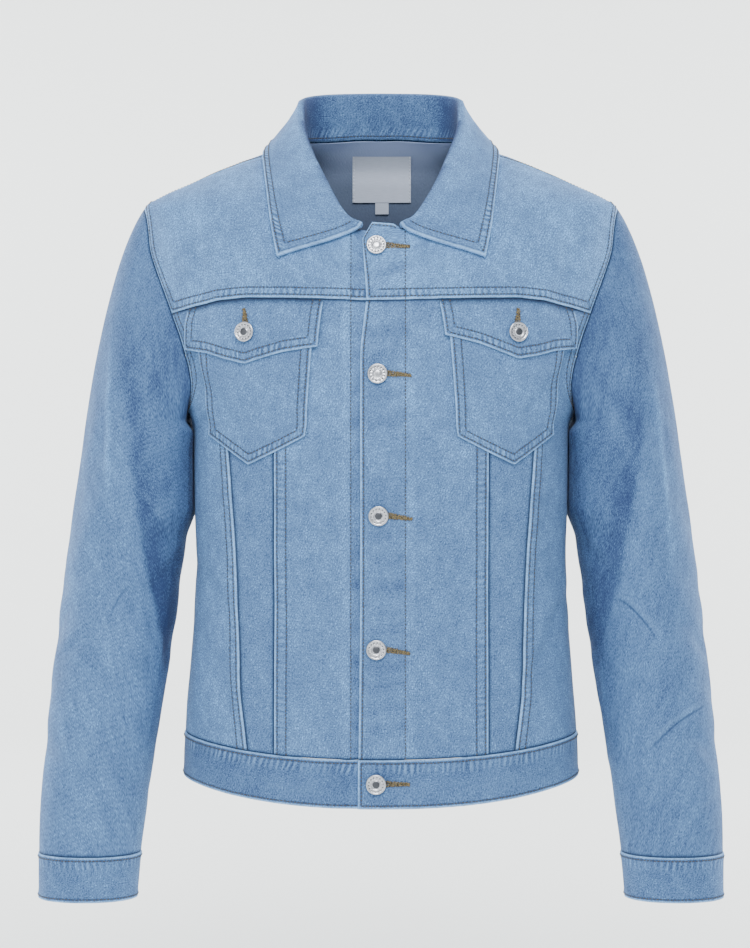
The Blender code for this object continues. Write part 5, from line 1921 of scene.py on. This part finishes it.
# Painted shade on the stand, below the fold, deeper towards its ends.
leaf.tone -= (0.34 + 0.5 * smooth((across - 46) / 26)) * (1 - smooth((past_fold + 3) / 4))
# A painted highlight just past the fold, where the leaf turns from the light; the puckers by the
# neck seam are pale and dark wear.
leaf.tone += 0.1 * bell(past_fold, 9, 12) * smooth((across - 40) / 30) + 0.16 * puckers
leaf.form = waver(leaf) + ripple(leaf.along, leaf.edge * 3)
stitches += make(leaf, COLLAR_DENIM, "collar_denim")
print("stitches so far:", stitches)

# %% [markdown]
# ## Set in the sleeves and lay on the pockets
# Each sleeve is two pieces, joined along the front and the back of the arm. The pockets and flaps
# go on last. Their edges are turned in on three sides, and the yoke's seam holds the fourth.

# %% Sleeves and cuffs
UNDER_DARK = {1: 0.1, -1: 0.3}      # shade along the under sleeve's front seam
for side, end in BOTH:
    for name, first, last in (("sleeve_top_", BACK_SEAM, FRONT_SEAM),
                              ("sleeve_under_", FRONT_SEAM, 2 * LOOP + BACK_SEAM)):
        sleeve = Cloth(name + end, *sleeve_piece(lines(first, (last, last - first))), step=3.0)
        share = run_along(sleeve.grid, 0)
        sleeve.turn = (first + (last - first) * share / share[-1]) * math.pi / LOOP
        sleeve.tuck("bottom").tuck("top")
        low = smooth((sleeve.grid[..., 2] + 640) / 200)
        if name == "sleeve_under_":
            sleeve.tuck("right")
            sleeve.tone -= UNDER_DARK[side] * low * bell(sleeve.away("left"), 0, 45)
        else:
            sleeve.sew("left", "lapped", crimp=0.4)
            # On the left sleeve, painted shade along the top piece's edge at the front seam too.
            if side > 0:
                sleeve.tone -= 0.16 * bell(sleeve.away("right"), 0, 16) * low
        sleeve.form = crumple_sleeve(sleeve) + waver(sleeve)
        stitches += make(sleeve)
    band = Cloth("cuff_" + end, *cuff(), wall=DOUBLE)
    band.sew("bottom", "gathered", crimp=0.6, worn=0.8).sew("top", "band", crimp=0.5)
    band.form = waver(band)
    stitches += make(band)
print("stitches so far:", stitches)

# %% Pockets and flaps
# Thinner and lower at the top, where the yoke's edge holds them down.
POCKET_THIN, POCKET_SINK, FLAP_THIN, FLAP_SINK = 0.8, 1.6, 0.6, 2.9
for side, end in BOTH:
    bag = Cloth("pocket_" + end, *pocket())
    cover = Cloth("flap_" + end, *flap(side))
    for cloth, at_sides, at_foot, reach, thin, sink in (
            (bag, 0.3, 0.8, 18, POCKET_THIN, POCKET_SINK),
            (cover, 0.35, 0.85, 16, FLAP_THIN, FLAP_SINK)):
        for edge, crimp in (("left", at_sides), ("right", at_sides), ("bottom", at_foot)):
            cloth.sew(edge, "turned", crimp=crimp, worn=0.8)
        held = 1 - smooth(cloth.away("top") / reach)
        cloth.wall = CLOTH - thin * held
        if cloth is cover:
            cloth.form = crumple_body(cloth)
            cloth.rise *= 1 - held
        cloth.grid -= cloth.out * (sink * held)[..., None]
        if cloth is bag:
            cloth.form = crumple_body(cloth)
        else:
            cloth.tuck("top", reach=4)
        stitches += make(cloth)
print("stitches in all:", stitches)


# %% Labels
for name, x_range, z_range in (("label", LABEL_X, LABEL_Z), ("size_tab", TAB_X, TAB_Z)):
    tag = Cloth(name, *satin(x_range, z_range), wall=SATIN)
    if name == "label":
        tag.rows = [(0, tag.away(edge), LABEL_ROW, False) for edge in ("left", "right")]
    make(tag, SATIN_CLOTH, "satin", PALE_THREAD)
print("labels, both bare:", 2)

# %% [markdown]
# ## Buttons
# A jeans button is a turned cap on a shank: a rounded rim, a flat ring that a maker would letter,
# left here with a plain knurl, and a domed middle. Spinning a profile is how it is really formed.

# %% Buttons
BUTTON_SIDES = 70
BUTTON = table("radius height", (0, 0), (3.4, 0), (3.4, 1.2), (8.3, 1.25), (8.9, 1.45), (9.25, 1.9),
               (9.25, 2.35), (9.0, 2.8), (8.5, 3.1), (8.0, 3.1), (7.6, 2.85), (7.2, 2.75),
               (6.2, 2.8), (5.2, 2.75), (4.9, 2.7), (4.5, 2.35), (4.1, 2.3), (3.8, 2.5),
               (3.3, 3.0), (2.4, 3.25), (1.2, 3.35), (0, 3.38))
KNURL = (5.1, 7.3)
KNURL_DEPTH = 0.3
CENTRE = 3.2
SHARP_METAL = 40      # degrees


def button(name, seat, out, dark_centre):
    """Spin a button's profile, knurl its ring and set it on the cloth."""
    bm = bmesh.new()
    chain = [bm.verts.new((r, 0, h)) for r, h in zip(BUTTON["radius"], BUTTON["height"])]
    edges = [bm.edges.new(pair) for pair in zip(chain, chain[1:])]
    bmesh.ops.spin(bm, geom=chain + edges, cent=(0, 0, 0), axis=(0, 0, 1), angle=2 * math.pi,
                   steps=BUTTON_SIDES, use_merge=True)
    bmesh.ops.remove_doubles(bm, verts=bm.verts[:], dist=0.001)
    for vert in bm.verts:
        radius = math.hypot(vert.co.x, vert.co.y)
        step = round(math.atan2(vert.co.y, vert.co.x) * BUTTON_SIDES / (2 * math.pi))
        if KNURL[0] < radius < KNURL[1] and vert.co.z > 2 and step % 5 < 2:
            vert.co.z -= KNURL_DEPTH
    for face in bm.faces:
        middle = face.calc_center_median()
        radius = math.hypot(middle.x, middle.y)
        step = int(math.atan2(middle.y, middle.x) * BUTTON_SIDES / (2 * math.pi) + BUTTON_SIDES)
        marked = KNURL[0] + 0.6 < radius < KNURL[1] - 0.5 and step % 5 < 2 and middle.z > 2
        if marked or (dark_centre and radius < CENTRE and middle.z > 2):
            face.material_index = 1
    bmesh.ops.scale(bm, verts=bm.verts[:], vec=(MM, MM, MM))
    bmesh.ops.recalc_face_normals(bm, faces=bm.faces[:])
    bmesh.ops.rotate(bm, verts=bm.verts[:], matrix=Vector(out).to_track_quat("Z", "Y").to_matrix())
    bmesh.ops.translate(bm, verts=bm.verts[:], vec=Vector(seat) * MM)
    dress("metal_" + name, mesh_of(bm, name), "button_metal", NICKEL, DARK_NICKEL, node=name,
          sharp=SHARP_METAL)


def seat_of(x, z, lift):
    """Place and facing of a spot on the front, lifted off the body."""
    seat = body(on_front(x, z))
    return seat + facing(seat) * lift, facing(seat)


SEWN_LIFT = 0.6
for i, (x, z) in enumerate(zip(*FRONT_BUTTONS.values())):
    seat, out = seat_of(x, z, SEWN_LIFT + (PROUD if i == 4 else 0))
    button(f"button_front_{i + 1}", seat, out, i > 1)
for side, end in BOTH:
    seat, out = seat_of(*FLAP_BUTTON, FLAP_LIFT + CLOTH + SEWN_LIFT)
    button("button_flap_" + end, seat * (side, 1, 1), out * (side, 1, 1), True)
print("buttons:", len(FRONT_BUTTONS["z"]) + len(BOTH))


# %% [markdown]
# ## Buttonholes
# A buttonhole is a slit whose lips are covered by close bars of thread. The cloth here isn't cut,
# because the button hides the slit's wide end and the bars cover the rest.

# %% Buttonholes
def buttonhole(name, start, end, lift, side=1):
    """Close bars of thread along both lips of a slit."""
    start, end = np.array(start, float), np.array(end, float)
    length = np.linalg.norm(end - start)
    way = (end - start) / length
    across = np.array([-way[1], way[0]])
    count = int(length / 0.6)
    places, turns = [], []
    for lip in (-1, 0, 1):
        for i in range(count):
            share = (i + 0.5) / count
            spot = start + way * share * length + across * lip * (2.1 - 1.5 * share)
            places.append(spot + rng.normal(0, 0.14, 2))
            turns.append(across + way * rng.normal(0, 0.3))
    places, turns = np.array(places), np.array(turns)
    middle, normal = seat_of(places[:, 0], places[:, 1], lift)
    ahead, _ = seat_of(places[:, 0] + turns[:, 0], places[:, 1] + turns[:, 1], lift)
    along = unit(ahead - middle)
    length = 2.5 * rng.normal(1, 0.2, len(middle))
    beads(name, middle, along, normal, length, 0.75, TAN_THREAD, side)


HOLE_DROP = (1.0, 1.5, 3.0, 3.5, 0.0)
for i, (x, z) in enumerate(zip(*FRONT_BUTTONS.values())):
    lift = 0.75 + (PROUD + 0.1 if i == 4 else 0)
    buttonhole(f"buttonhole_front_{i + 1}", (x + 7.5, z + 0.5), (x + 31, z - HOLE_DROP[i]), lift)
for side, end in BOTH:
    x, z = FLAP_BUTTON
    lift = FLAP_LIFT + CLOTH + 0.35
    buttonhole("buttonhole_flap_" + end, (x, z + 7.5), (x + 1, z + 22), lift, side)
print("buttonholes:", len(HOLE_DROP) + len(BOTH))
